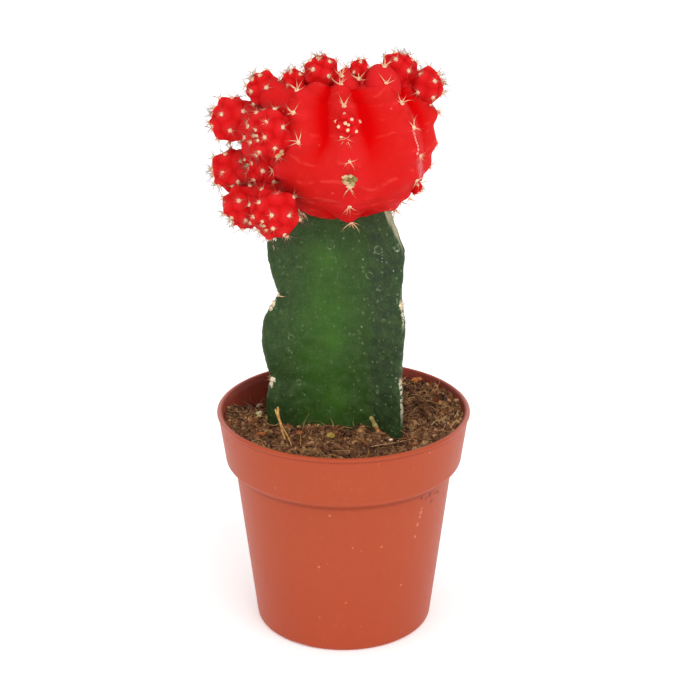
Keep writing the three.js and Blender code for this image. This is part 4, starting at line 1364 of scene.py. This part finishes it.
def globe_skin(polar, azimuth):
    """Points of the globe's skin, how deep each lies in a groove, and how far up a knob."""
    polar, azimuth = np.broadcast_arrays(floats(polar), floats(azimuth))
    rib_share = np.abs(2 * rib_places(polar, azimuth) - 1)
    valley = 0.55 * (1 - rib_share ** 2) ** 1.6 + 0.45 * (1 - np.sqrt(rib_share ** 2 + 0.01)) ** 3
    valley = np.clip(valley, 0, 1)
    level = np.sin(np.radians(polar))
    fade = 1.05 * bell(polar - 52, 38) + 0.12
    under = eased(132, 156, polar)
    groove = GLOBE["rib_depth"] * valley * np.sqrt(level) * (fade + 0.5 * under)
    # The painted shade of the grooves: strongest on the groove's line, fading out below the middle and partly
    # back on the underside.
    fold = (1 - rib_share) ** 2.2 * np.clip(eased(114, 76, polar) + 0.6 * under, 0, 1)
    knob = np.zeros(polar.shape)
    pinch = np.zeros(polar.shape)
    for rib, rib_azimuth in zip(RIBS, rib_azimuths(polar)):
        aside = (azimuth - rib_azimuth + 180) % 360 - 180
        along_crest = bell(aside * level, 10.0)
        for areole, _ in rib:
            below = polar - areole
            width = np.where(below > 0, 7.5, 6.0)
            knob = knob + bell(below, width) * along_crest
        for (areole, _), (following, _) in zip(rib, rib[1:]):
            between = 0.56 * areole + 0.44 * following
            if between > 60:
                pinch = pinch + bell(polar - between, 3.0) * along_crest
    knob = np.clip(knob, 0, 1)
    rise = GLOBE["knob"] + GLOBE["knob_above"] * eased(70, 40, polar)
    bumps = (rise * knob - GLOBE["pinch"] * pinch) * np.sqrt(level)
    above = polar < 90
    power = np.where(above, GLOBE["power_above"], GLOBE["power_below"])
    out = level ** (2 / power)
    high = np.sign(90 - polar) * np.abs(np.cos(np.radians(polar))) ** (2 / power)
    tall = np.where(high > 0, GLOBE["upper"], GLOBE["lower"])
    hollow = 1 - GLOBE["dimple"] * bell(polar, GLOBE["dimple_width"])
    radius = GLOBE["radius"] * out * (1 - groove + bumps)
    x = radius * np.cos(np.radians(azimuth))
    y = radius * np.sin(np.radians(azimuth))
    sag = groove * eased(110, 150, polar) + 1.3 * groove * eased(62, 34, polar)
    z = high * tall * hollow * (1 + 0.5 * bumps + 0.7 * bumps * eased(60, 40, polar) - sag)
    z = z - GLOBE["back_fall"] * eased(-1.0, 9.0, y) * eased(88, 50, polar)
    return np.stack([x, y, z], axis=-1) + np.array(GLOBE["centre"]), fold, knob


def offset_areoles(radius):
    """Directions of an offset's areoles, in a golden spiral down from its growing tip, and their spacing."""
    count = round(OFFSET_DENSITY * radius) + 2
    share = (np.arange(count) + 0.6) / count
    reach = math.radians(OFFSET_REACH)
    fall = reach * share ** 1.1
    turn = np.radians(GOLDEN_ANGLE) * np.arange(count)
    directions = np.column_stack([np.sin(fall) * np.cos(turn), np.sin(fall) * np.sin(turn), np.cos(fall)])
    spacing = np.sqrt(2 * math.pi * np.sin(fall) * reach * 1.1 * share ** 0.1 / count)
    return directions, np.clip(spacing, 0.25, 0.95)


def offset_hollow(directions):
    """How far the growing tip of an offset is sunk."""
    return 0.1 * np.exp(-11 * (1 - directions[:, 2] ** 2)) * (directions[:, 2] > 0)


def offset_tree():
    """Raises the knobs of an offset: its skin swells outwards round each point of the geometry given."""
    inputs = [("Radius", FLOAT, 0.004), ("Body", FLOAT, 0.83), ("Knob", FLOAT, 0.2), ("Dimple", FLOAT, 0.1)]
    inputs += [("Detail", WHOLE, 5)]
    g, given, made = geometry_group("knobbly offset", inputs)
    ball = g.first("GeometryNodeMeshIcoSphere", {"Radius": 1.0, "Subdivisions": given["Detail"]})
    place = g.first("GeometryNodeInputPosition")
    inputs = {"Geometry": given["Geometry"], "Sample Position": place}
    index = g.first("GeometryNodeSampleNearest", inputs)
    seat = g.sampled(given["Geometry"], place, index)
    spacing = g.sampled(given["Geometry"], g.named("spacing"), index, "FLOAT")
    away = g.add("ShaderNodeVectorMath", {0: place, 1: seat}, operation="DISTANCE").outputs["Value"]
    share = g.math("DIVIDE", away, g.times(spacing, 0.58))
    knob = g.math("EXPONENT", g.times(g.math("POWER", share, 1.35), -1.9))
    height = g.times(g.times(knob, given["Knob"]), g.math("POWER", spacing, 0.5))
    corner = g.separate(place)
    across = g.plus(g.math("POWER", corner[0], 2.0), g.math("POWER", corner[1], 2.0))
    hollow = g.math("EXPONENT", g.times(across, -11.0))
    hollow = g.times(g.times(hollow, given["Dimple"]), g.math("GREATER_THAN", corner[2], 0.0))
    swell = g.minus(g.plus(height, given["Body"]), hollow)
    moved = g.scaled(place, g.times(swell, given["Radius"]))
    skin = g.store(ball, "knob", knob)
    skin = g.first("GeometryNodeSetPosition", {"Geometry": skin, "Position": moved})
    return g.closed_by(skin, given, made)


def skin_layers(fold, knob):
    """What the red skin of young growth carries on its points."""
    none = np.zeros(len(fold))
    return {"groove": fold, "knob": knob, "young": none + 1, "fall": none, "aside": none}


class CACTUS_OT_scion(Operator):
    """Builds the red globe and the offsets that grow from it"""

    bl_idname = "cactus.scion"
    bl_label = "Scion"

    def execute(self, context):
        settings = context.scene.cactus_plant
        material = red_skin(settings)
        polar = np.linspace(*GLOBE["polar_range"], 150)
        crests = np.array(rib_azimuths(polar))
        gaps = (np.roll(crests, -1, axis=0) - crests) % 360
        shares = np.linspace(0, 1, 23)[:-1]
        azimuth = (crests[:, None] + gaps[:, None] * shares[None, :, None]).reshape(-1, len(polar)).T
        skin, fold, knob = globe_skin(polar[:, None], azimuth)
        flat = skin.reshape(-1, 3)
        outwards = unit(flat - np.array(GLOBE["centre"]))
        swell = 0.22 * lumps(flat, 0.13, 5) + 0.07 * lumps(flat, 0.5, 6)
        skin = (flat + outwards * swell[:, None]).reshape(skin.shape)
        points, faces = closed_rings(skin, skin[0].mean(axis=0), skin[-1].mean(axis=0))
        tall = polar[:, None]
        ends = [0.0, 0.0]
        layers = {
            "groove": np.concatenate([fold.ravel(), ends]),
            "knob": np.concatenate([knob.ravel(), ends]),
            "young": np.zeros(len(points)),
            "fall": np.concatenate([np.broadcast_to(tall, knob.shape).ravel(), GLOBE["polar_range"]]),
            "aside": np.concatenate([2 * rib_places(*np.broadcast_arrays(tall, azimuth)).ravel() - 1, ends]),
        }
        closed_piece("scion_globe", (points, faces, layers), material, "scion")
        tree = offset_tree()
        parts = []
        for number, (centre, radius, tip) in enumerate(OFFSETS):
            directions, spacing = offset_areoles(radius)
            source = mesh_object(f"offset_{number}", directions / MM, [], {"spacing": spacing})
            values = {"Radius": radius * MM, "Body": settings.body, "Knob": settings.knob, "Detail": 5}
            made = grown(source, tree, values)
            place = places_of(made)
            raised = np.array([item.value for item in made.data.attributes["knob"].data])
            place = place @ np.array(turn_to(tip)).T + np.array(centre)
            place = place + unit(place - np.array(centre)) * 0.07 * radius * lumps(place, 0.4, 7)[:, None]
            faces = [list(p.vertices) for p in made.data.polygons]
            # The creases between an offset's knobs take the grooves' painted shade.
            fold = np.clip(1.05 - 1.5 * raised, 0, 1)
            parts.append((place, faces, skin_layers(fold, raised)))
            bpy.data.objects.remove(made)
            if number in NECKS:
                foot, width = NECKS[number]
                line = np.linspace(centre, foot, 16)
                place, faces = tube(line, np.linspace(0.8 * radius, width, 16), 32)
                dents = np.column_stack([lumps(place, 0.35, seed) for seed in (8, 9, 10)])
                place = place + 0.1 * radius * dents
                # The necks take part of the grooves' painted shade.
                parts.append((place, faces, skin_layers(np.full(len(place), 0.35), np.zeros(len(place)))))
        for centre, sizes in HUMPS:
            place, faces = plain_ball(4)
            swell = 1 + 0.07 * lumps(place + np.array(centre), 0.9, 12)[:, None]
            place = place * np.array(sizes) * swell + np.array(centre)
            # The humps take a little of the grooves' painted shade and of the knobs' pink.
            parts.append((place, faces, skin_layers(np.full(len(place), 0.12), np.full(len(place), 0.3))))
        closed_piece("scion_offsets", joined(parts), material, "scion")
        return {"FINISHED"}


# ---------- areoles

def inside_globes(points, but=None):
    """Which points lie within the globe or within an offset other than one."""
    local = (floats(points) - np.array(GLOBE["centre"])) / GLOBE["radius"]
    tall = np.where(local[:, 2] > 0, GLOBE["upper"], GLOBE["lower"]) / GLOBE["radius"]
    power = np.where(local[:, 2] > 0, GLOBE["power_above"], GLOBE["power_below"])
    level = np.hypot(local[:, 0], local[:, 1]) ** power + (np.abs(local[:, 2]) / tall) ** power
    hidden = level < 0.96
    for number, (centre, radius, _) in enumerate(OFFSETS):
        if number != but:
            hidden |= np.linalg.norm(points - np.array(centre), axis=1) < radius
    return hidden


AREOLE_LAYERS = ("seat", "facing", "lean", "wool", "spine", "girth", "number", "splay")


def areole_row(seat, facing, lean, *sizes):
    """One areole: place, facing, the way its spines lean, then its sizes in the order of AREOLE_LAYERS."""
    return (seat, facing, unit(facing + floats(lean)), *sizes)


# How the areoles of the globe change on the way down. Those above a polar angle have: how far they stand
# out, the lean of their spines, shares of the full wool and spine, and girth, number and splay.
AREOLE_BANDS = [
    (60, 0.0, 1.0, 1.0, 1.0, 1.3, 6, 0.9),
    (90, 0.0, 0.45, 1.0, 0.9, 1.3, 6, 1.1),
    (120, 0.0, -0.1, 0.75, 0.8, 1.25, 5, 1.25),
    (180, 0.2, -0.5, 0.85, 1.0, 1.2, 5, 0.95),
]


def globe_areoles(settings):
    rows = []
    spine = settings.globe_spine / MM
    wool = settings.wool / MM
    for rib in RIBS:
        for polar, azimuth in rib:
            near = [polar, polar - 0.5, polar + 0.5, polar, polar]
            aside = [azimuth, azimuth, azimuth, azimuth + 0.5, azimuth - 0.5]
            here, ahead, behind, left, right = globe_skin(near, aside)[0]
            facing = unit(np.cross(left - right, ahead - behind))
            if (polar, azimuth) == BUDDING_AREOLE:
                low, high = here - (0, 0, 0.9), here + 0.5 * facing
                rows.append(areole_row(low, facing, (0, 0, -0.9), 0.3, spine * 0.75, 1.4, 5, 0.8))
                rows.append(areole_row(high, facing, (0, 0, 0.1), 0.8, spine * 0.45, 1.6, 7, 1.1))
                continue
            if (polar, azimuth) == BARE_AREOLE:
                rows.append(areole_row(here, facing, (0, 0, -0.5), 0.16, spine * 0.8, 0.9, 7, 1.35))
                continue
            _, lift, lean, pad, reach, *rest = next(band for band in AREOLE_BANDS if polar < band[0])
            here = here + lift * facing
            rows.append(areole_row(here, facing, (0, 0, lean), wool * pad, spine * reach, *rest))
    for seat, facing in HUMP_AREOLES:
        rows.append(areole_row(np.array(seat), unit(np.array(facing)), (0, 0, 1.0), wool, spine, 1.3, 6, 0.9))
    return rows


def offset_areole_rows(settings):
    rows = []
    for number, (centre, radius, tip) in enumerate(OFFSETS):
        directions, spacing = offset_areoles(radius)
        facing = directions @ np.array(turn_to(tip)).T
        lift = settings.body + settings.knob * np.sqrt(spacing) - offset_hollow(directions)
        seats = np.array(centre) + facing * (radius * lift)[:, None]
        hidden = inside_globes(seats, number)
        length = settings.offset_spine / MM * min(1.0, 0.3 + 0.19 * radius)
        for seat, face, gap, unseen in zip(seats, facing, spacing, hidden):
            if unseen:
                continue
            wool = (0.36 if gap < 0.45 else 0.46) * (1.0 if radius > 2.5 else 0.75)
            if number == BUD:
                rows.append(areole_row(seat - 0.1 * face, face, (0, 0, 0.1), 0.36, 0.6, 0.6, 2, 0.6))
                continue
            seat = seat - 0.12 * face
            if gap < 0.45:
                rows.append(areole_row(seat, face, (0, 0, 0.1), wool, length * 0.85, 0.5, 7, 0.75))
            else:
                rows.append(areole_row(seat, face, (0, 0, 0.1), wool, length, 0.48, 9, 0.9))
    return rows


def spines_tree():
    """A fan of bent spines at each point, which carries the way they lean, their sizes and their number."""
    inputs = [("Slenderness", FLOAT, 0.038), ("Bend", VECTOR, (0.14, 0.0, 0.5)), ("Seed", WHOLE, 1)]
    g, given, made = geometry_group("areole spines", inputs)
    seed = given["Seed"]
    number = g.named("number")
    inputs = {"Geometry": given["Geometry"], "Amount": number}
    fan = g.add("GeometryNodeDuplicateElements", inputs, domain="POINT").outputs
    facing = g.named("lean", "FLOAT_VECTOR")
    side = g.vector("NORMALIZE", g.vector("CROSS_PRODUCT", facing, (0.13, 0.31, 0.94)))
    other = g.vector("CROSS_PRODUCT", facing, side)
    wobble = g.random(-0.45, 0.45, seed, 1.0)
    turn = g.times(g.math("DIVIDE", fan["Duplicate Index"], number), 2 * math.pi)
    turn = g.plus(turn, wobble)
    splay = g.times(g.named("splay"), g.random(0.7, 1.2, seed, 2.0))
    round_side = g.scaled(side, g.math("COSINE", turn))
    round_other = g.scaled(other, g.math("SINE", turn))
    sideways = g.scaled(g.vector("ADD", round_side, round_other), g.math("SINE", splay))
    direction = g.vector("ADD", sideways, g.scaled(facing, g.math("COSINE", splay)))
    spin = g.pointing(direction, g.random_turn(seed, 3.0))
    size = g.times(g.named("spine"), g.random(0.7, 1.15, seed, 4.0))
    spine = g.strand(given["Bend"], given["Slenderness"], 0.12)
    girth = g.times(size, g.named("girth"))
    scale = g.combine(girth, girth, size)
    spines = g.copies(fan["Geometry"], spine, spin, scale)
    spines = g.store(spines, "tint", g.random(0.0, 1.0, seed, 5.0), "INSTANCE")
    return g.closed_by(spines, given, made)


def wool_tree():
    """A tuft of wool at each point: a rough pad with short strands over it."""
    inputs = [("Strands", WHOLE, 12), ("Seed", WHOLE, 1)]
    g, given, made = geometry_group("areole wool", inputs)
    seed = given["Seed"]
    facing = g.named("facing", "FLOAT_VECTOR")
    size = g.named("wool")
    pad = g.first("GeometryNodeMeshUVSphere", {"Segments": 7, "Rings": 4, "Radius": 1.0})
    turn = g.pointing(facing, g.random_turn(seed, 1.0))
    flat = g.vector("MULTIPLY", g.combine(size, size, size), (1.0, 1.0, 0.5))
    pads = g.copies(given["Geometry"], pad, turn, flat)
    inputs = {"Geometry": given["Geometry"], "Amount": given["Strands"]}
    many = g.first("GeometryNodeDuplicateElements", inputs, domain="POINT")
    wild = g.random_vector(-1.0, 1.0, seed, 2.0)
    direction = g.vector("ADD", g.vector("NORMALIZE", wild), g.scaled(facing, 0.9))
    turn = g.pointing(direction, g.random_turn(seed, 3.0))
    reach = g.times(size, g.random(0.8, 1.4, seed, 4.0))
    strand = g.strand((0.35, 0.0, 0.6), 0.1, 0.3)
    both = g.together(pads, g.copies(many, strand, turn, reach))
    tufts = g.store(both, "tint", g.random(0.0, 1.0, seed, 5.0), "INSTANCE")
    tufts = g.shaken(tufts, 2500.0, 0.0004)
    return g.closed_by(tufts, given, made)


def stem_areoles():
    """The areoles in the notches of the wings."""
    rows = []
    for wing in WINGS:
        turn = math.radians(wing["angle"])
        out = np.array([math.cos(turn), math.sin(turn), 0.0])
        for height, _ in wing["notches"]:
            reach = float(wing_reach(wing, np.array([height]))[0])
            seat = np.array([*STEM["axis"], height]) + out * (reach - 0.15)
            rows.append(areole_row(seat, out, (0, 0, 0.15), 0.7, 2.3, 0.9, 5, 0.95))
    seat = np.array((-13.9, 0.9, 75.0))
    rows.append(areole_row(seat, np.array((0.0, -1.0, 0.0)), (1.0, 0.55, 0.1), 0.3, 2.0, 2.2, 1, 0.0))
    return rows


def fuzz(name, rows, horn, felt, trees):
    """The spines and the wool at some areoles, as two pieces."""
    layers = {key: np.array([row[i] for row in rows], float) for i, key in enumerate(AREOLE_LAYERS)}
    layers["wool"] *= MM
    layers["spine"] *= MM
    seats = layers.pop("seat")
    spines, tufts = trees
    for kind, places, tree, seed, material in (
        ("spines", seats - 0.1 * layers["facing"], spines, 11, horn),
        ("wool", seats, tufts, 23, felt),
    ):
        source = mesh_object(f"{name}_{kind}", places, [], layers)
        made = grown(source, tree, {"Seed": seed, "Material": material})
        smooth(made.data)
        finish_piece(made, material)


class CACTUS_OT_areoles(Operator):
    """Sets wool and spines on the areoles of the scion and the rootstock"""

    bl_idname = "cactus.areoles"
    bl_label = "Wool and Spines"

    def execute(self, context):
        settings = context.scene.cactus_plant
        old_horn = spine_horn(settings, "spines", 0.45, settings.tip, tone(206, 150, 112))
        young_horn = spine_horn(settings, "young_spines", 0.1, settings.young_tip, tone(142, 92, 76))
        felt = areole_felt("wool", settings.fleece, tone(214, 160, 122))
        pale_felt = areole_felt("stem_wool", tone(232, 222, 184), tone(190, 168, 124))
        trees = (spines_tree(), wool_tree())
        rows = globe_areoles(settings)
        hidden = inside_globes(np.array([seat + 0.3 * facing for seat, facing, *_ in rows]))
        shown = [row for row, unseen in zip(rows, hidden) if not unseen]
        fuzz("scion", shown, old_horn, felt, trees)
        fuzz("offset", offset_areole_rows(settings), young_horn, felt, trees)
        fuzz("rootstock", stem_areoles(), old_horn, pale_felt, trees)
        return {"FINISHED"}


# ---------- dry scraps and litter

def stalk(path, thickness, flatten=1.0, sides=8, ripple=0.06, seed=1):
    """A slightly rippled stalk along a path of corners, thickness at its two ends."""
    path = floats(path)
    steps = np.linspace(0, len(path) - 1, 6 * len(path))
    line = np.column_stack([np.interp(steps, np.arange(len(path)), path[:, i]) for i in range(3)])
    for _ in range(4):
        line[1:-1] = (line[:-2] + 2 * line[1:-1] + line[2:]) / 4
    radii = np.linspace(thickness[0], thickness[1], len(line)) / 2
    radii = radii * (1 + ripple * lumps(line, 1.7, seed))
    radii[0] *= 0.6
    radii[-1] *= 0.7
    return tube(line, radii, sides, flatten)


class CACTUS_OT_scraps(Operator):
    """Builds the dry straw and the twig that stand in the peat"""

    bl_idname = "cactus.scraps"
    bl_label = "Straw and Twig"

    def execute(self, context):
        foot = np.array((-11.2, -10.2, 42.6))
        tip = np.array((-14.7, -0.7, 49.5))
        bow = foot * 0.5 + tip * 0.5 + (-0.2, 0.1, -0.3)
        fork = foot * 0.35 + tip * 0.65
        high = fork * 0.4 + tip * 0.6
        blades = [
            ([foot, bow, fork, high, tip + (0.45, 0.2, 0.3)], (0.5, 0.55), 0.6, 1),
            ([foot + (0.0, 0.1, 0.1), bow, fork, tip + (-0.15, 0, -0.1)], (0.45, 0.6), 0.5, 2),
            ([fork, high, tip + (0.2, -0.2, -0.5)], (0.5, 0.35), 0.5, 3),
            ([fork, (-12.2, -7.9, 46.7), (-11.5, -10.7, 46.5), (-10.9, -13.3, 46.4)], (0.5, 0.3), 0.7, 4),
        ]
        parts = [(*stalk(path, thick, flat, 8, 0.12, seed), {}) for path, thick, flat, seed in blades]
        closed_piece("straw_stalk", joined(parts), dry_straw(), "straw")
        foot = np.array((8.9, -7.6, 43.6))
        tip = np.array((5.8, -6.3, 50.1))
        knee = foot * 0.45 + tip * 0.55 + (0.15, -0.1, -0.1)
        points, faces = stalk([foot, knee, tip], (1.3, 0.95), 0.9, 16, 0.2, 5)
        tint = eased(0.6, 0.72, (points[:, 2] - foot[2]) / (tip[2] - foot[2]))
        closed_piece("twig_stub", (points, faces, {"tint": tint}), twig_bark(), "twig")
        return {"FINISHED"}


# Chips that lie in the peat: place, half sizes, turn in degrees and colour.
CHIPS = [
    ((-18.7, 4.9, 46.0), (0.75, 0.6, 0.4), 20, (218, 208, 164)),
    ((-18.5, 3.4, 46.0), (0.5, 0.5, 0.3), 50, (190, 170, 100)),
    ((-19.0, 12.6, 44.5), (0.8, 0.6, 0.4), 70, (178, 160, 122)),
    ((-2.9, -7.5, 46.1), (1.0, 0.65, 0.65), 0, (178, 148, 68)),
    ((10.1, -11.4, 46.9), (0.42, 0.3, 0.22), 30, (238, 214, 190)),
    ((-17.8, -6.0, 45.9), (1.1, 0.65, 0.3), 15, (172, 92, 40)),
    ((-9.4, -5.7, 46.0), (0.9, 0.6, 0.35), 50, (158, 92, 50)),
    ((16.4, 17.6, 48.7), (1.3, 0.7, 0.5), 25, (196, 112, 54)),
    ((4.4, -19.0, 46.0), (0.5, 0.35, 0.25), 60, (196, 166, 116)),
    ((13.4, -18.0, 47.0), (0.4, 0.3, 0.22), 5, (206, 178, 126)),
    ((21.2, 3.5, 49.1), (0.7, 0.45, 0.3), 80, (176, 118, 66)),
]

# Dry roots and fibres that lie in loops over the peat: a path, thickness and colour.
ROOTS = [
    ([(5.8, -12.8, 45.9), (7.8, -12.9, 46.4), (9.9, -12.3, 46.4), (12.4, -11.3, 46.5), (14.6, -10.1, 46.5)],
     0.2, (206, 166, 120)),
    ([(18.9, -5.0, 47.4), (19.6, -4.2, 47.9), (20.6, -3.8, 48.3), (21.6, -4.8, 48.6), (21.9, -7.0, 48.5),
      (21.2, -8.8, 48.0), (20.0, -8.6, 47.6)], 0.2, (196, 166, 122)),
    ([(20.7, 15.6, 48.9), (20.5, 13.2, 49.3), (20.0, 10.2, 49.6)], 0.28, (178, 84, 50)),
    ([(-21.2, 12.9, 46.6), (-20.9, 12.8, 45.6), (-20.2, 13.4, 44.7), (-18.9, 14.4, 44.2)],
     0.16, (150, 96, 72)),
    ([(23.9, -4.4, 49.0), (24.6, -2.6, 49.2), (24.8, -0.8, 49.1)], 0.2, (204, 172, 124)),
    ([(22.7, -9.4, 48.9), (23.6, -8.0, 49.2), (24.2, -6.2, 49.2)], 0.2, (196, 160, 112)),
    ([(-8.9, -4.1, 45.9), (-8.5, -3.9, 47.6), (-7.4, -3.6, 49.6)], 0.16, (150, 140, 84)),
    ([(-15.3, -12.3, 46.1), (-13.9, -13.2, 46.3), (-12.2, -13.1, 46.2)], 0.17, (178, 134, 88)),
    ([(-2.2, -15.8, 46.3), (-0.5, -16.3, 46.6), (1.4, -15.7, 46.4)], 0.15, (186, 144, 98)),
    ([(16.8, 8.8, 48.4), (18.5, 8.2, 48.9), (19.6, 6.3, 48.9), (19.0, 4.6, 48.7)], 0.17, (172, 126, 80)),
]


def shaded(points, faces, shade):
    """A shape that carries a colour of its own."""
    return points, faces, {"shade": np.tile(tone(*shade)[:3], (len(points), 1))}


def rough_lump(centre, sizes, turn, shade, seed):
    """A rough lump with its colour: centre and half sizes, turned on the spot by some degrees."""
    points, faces = plain_ball(3)
    points = points * (1 + 0.4 * lumps(points * 1.9, 1.0, seed))[:, None] * np.array(sizes)
    dents = np.column_stack([lumps(points * 9, 1.0, seed + i) for i in (1, 2, 3)])
    points = points + 0.12 * min(sizes) * dents
    turned = points @ np.array(Matrix.Rotation(math.radians(turn), 3, "Z")).T
    return shaded(turned + np.array(centre), faces, shade)


class CACTUS_OT_litter(Operator):
    """Strews chips of bark and stone and dry roots over the peat"""

    bl_idname = "cactus.litter"
    bl_label = "Litter"

    def execute(self, context):
        material = litter_bits("litter", tone(96, 62, 40))
        chips = [rough_lump(*chip, seed) for seed, chip in enumerate(CHIPS)]
        closed_piece("litter_chips", joined(chips), material)
        roots = []
        for seed, (path, thickness, shade) in enumerate(ROOTS):
            root = stalk(path, (thickness, 0.6 * thickness), 1.0, 6, 0.2, seed)
            roots.append(shaded(*root, shade))
        closed_piece("litter_roots", joined(roots), material)
        return {"FINISHED"}


# Dried scales, most of them on the budding areole of the globe: place, half sizes, turn and colour.
CLUMP = [
    ((1.3, -16.9, 105.7), (1.25, 0.7, 0.95), 10, (176, 150, 92)),
    ((0.5, -17.3, 106.3), (0.7, 0.4, 0.35), 20, (214, 190, 138)),
    ((1.5, -17.5, 106.5), (0.5, 0.4, 0.3), 70, (232, 208, 158)),
    ((2.3, -17.3, 105.9), (0.6, 0.4, 0.35), -40, (150, 132, 70)),
    ((0.6, -17.5, 105.2), (0.6, 0.4, 0.4), -25, (222, 190, 140)),
    ((2.0, -17.5, 105.0), (0.5, 0.4, 0.45), 85, (190, 168, 104)),
    ((1.2, -17.6, 105.7), (0.4, 0.3, 0.35), 30, (116, 96, 46)),
    ((-12.8, -13.2, 109.9), (0.9, 0.6, 0.6), 35, (226, 184, 128)),
    ((-12.2, -13.5, 110.5), (0.5, 0.4, 0.5), 80, (212, 160, 112)),
]

# Corky scales and pads on the edges of the rootstock: place, half sizes, turn and colour.
CORKS = [
    ((-14.3, 1.6, 87.7), (0.45, 0.7, 0.85), 0, (236, 230, 210)),
    ((-14.75, 1.6, 85.9), (0.4, 0.7, 1.05), 0, (168, 146, 112)),
    ((-14.9, 1.7, 72.9), (0.45, 0.6, 0.7), 0, (232, 222, 188)),
    ((-15.5, 1.7, 71.9), (0.4, 0.6, 0.6), 10, (226, 212, 172)),
    ((-15.3, 1.5, 55.4), (0.5, 0.6, 0.7), 0, (238, 226, 196)),
    ((-15.6, 1.5, 54.3), (0.35, 0.6, 0.9), 0, (226, 216, 184)),
    ((11.6, -6.9, 57.4), (0.45, 0.4, 0.9), 0, (234, 226, 194)),
    ((12.1, -6.6, 55.6), (0.3, 0.35, 1.2), 0, (224, 218, 186)),
]


class CACTUS_OT_clump(Operator):
    """Builds the dried scales on the scion and the corky pads of the rootstock"""

    bl_idname = "cactus.clump"
    bl_label = "Dried Scales"

    def execute(self, context):
        material = litter_bits("dried_scales", tone(150, 128, 90))
        for name, table in (("scion_scales", CLUMP), ("rootstock_scales", CORKS)):
            scales = [rough_lump(*scale, seed + 40) for seed, scale in enumerate(table)]
            closed_piece(name, joined(scales), material)
        return {"FINISHED"}


# ---------- stage

# How far the floor reaches each way, in millimetres.
FLOOR_REACH = 6000


def look_from(data, name, place, target):
    """A lamp or a camera at a place that looks at a target."""
    made = placed(name, data)
    made.location = place
    made.rotation_euler = (Vector(target) - Vector(place)).to_track_quat("-Z", "Y").to_euler()
    return made


def soft_light(name, place, strength, spread):
    """A far light that fills a wide part of the sky, so it falls evenly over the floor."""
    lamp = bpy.data.lights.new(name, "SUN")
    lamp.energy = strength
    lamp.angle = math.radians(spread)
    return look_from(lamp, name, place, (0, 0, 0.07))


class CACTUS_OT_stage(Operator):
    """Sets the floor, the lights and the camera"""

    bl_idname = "cactus.stage"
    bl_label = "Stage"

    def execute(self, context):
        scene = context.scene
        stage = scene.cactus_stage
        scene.view_settings.view_transform = "Standard"
        steps = np.linspace(-FLOOR_REACH, FLOOR_REACH, 25)
        side = len(steps)
        grid = np.array([(x, y, 0.0) for y in steps for x in steps])
        lows = [row * side + column for row in range(side - 1) for column in range(side - 1)]
        faces = [[low, low + 1, low + side + 1, low + side] for low in lows]
        floor = mesh_object("studio_floor", grid, faces)
        floor.data.materials.append(studio_floor())
        world = bpy.data.worlds.new("white surroundings")
        world.use_nodes = True
        backdrop = world.node_tree.nodes["Background"].inputs
        backdrop["Color"].default_value = (1, 1, 1, 1)
        backdrop["Strength"].default_value = stage.sky
        scene.world = world
        soft_light("key_light", (0.5, -0.8, 0.9), stage.key, 50)
        soft_light("fill_light", (-0.7, -0.6, 0.7), stage.fill, 60)
        camera = bpy.data.cameras.new("photo_camera")
        camera.lens = stage.lens
        camera.sensor_width = 36
        middle = Vector((stage.aside, 0, stage.middle))
        place = middle + Vector((0, -math.cos(stage.pitch), math.sin(stage.pitch))) * stage.distance
        scene.camera = look_from(camera, "photo_camera", place, middle)
        return {"FINISHED"}


# ---------- panel and run

class CACTUS_PT_panel(Panel):
    """Lists the pieces of the cactus and their settings"""

    bl_idname = "CACTUS_PT_panel"
    bl_label = "Moon Cactus"
    bl_space_type = "VIEW_3D"
    bl_region_type = "UI"
    bl_category = "Cactus"

    def draw(self, context):
        scene = context.scene
        for settings, operators in (
            (scene.cactus_pot, ["cactus.pot"]),
            (scene.cactus_peat, ["cactus.peat", "cactus.scraps", "cactus.litter"]),
            (scene.cactus_plant, ["cactus.rootstock", "cactus.scion", "cactus.areoles", "cactus.clump"]),
            (scene.cactus_stage, ["cactus.stage"]),
        ):
            box = self.layout.box()
            for name in settings.__annotations__:
                box.prop(settings, name)
            for operator in operators:
                box.operator(operator)


SETTINGS = {
    "cactus_pot": PotSettings,
    "cactus_peat": PeatSettings,
    "cactus_plant": PlantSettings,
    "cactus_stage": StageSettings,
}
OPERATORS = (
    CACTUS_OT_pot, CACTUS_OT_peat, CACTUS_OT_rootstock, CACTUS_OT_scion, CACTUS_OT_areoles,
    CACTUS_OT_clump, CACTUS_OT_scraps, CACTUS_OT_litter, CACTUS_OT_stage,
)


def register():
    for kind in (*SETTINGS.values(), *OPERATORS, CACTUS_PT_panel):
        bpy.utils.register_class(kind)
    for name, kind in SETTINGS.items():
        setattr(bpy.types.Scene, name, PointerProperty(type=kind))


def unregister():
    for name in SETTINGS:
        delattr(bpy.types.Scene, name)
    for kind in (CACTUS_PT_panel, *reversed(OPERATORS), *SETTINGS.values()):
        bpy.utils.unregister_class(kind)


def main():
    register()
    for operator in (
        bpy.ops.cactus.stage, bpy.ops.cactus.pot, bpy.ops.cactus.peat, bpy.ops.cactus.rootstock,
        bpy.ops.cactus.scion, bpy.ops.cactus.areoles, bpy.ops.cactus.clump, bpy.ops.cactus.scraps,
        bpy.ops.cactus.litter,
    ):
        operator()


if __name__ == "__main__":
    main()
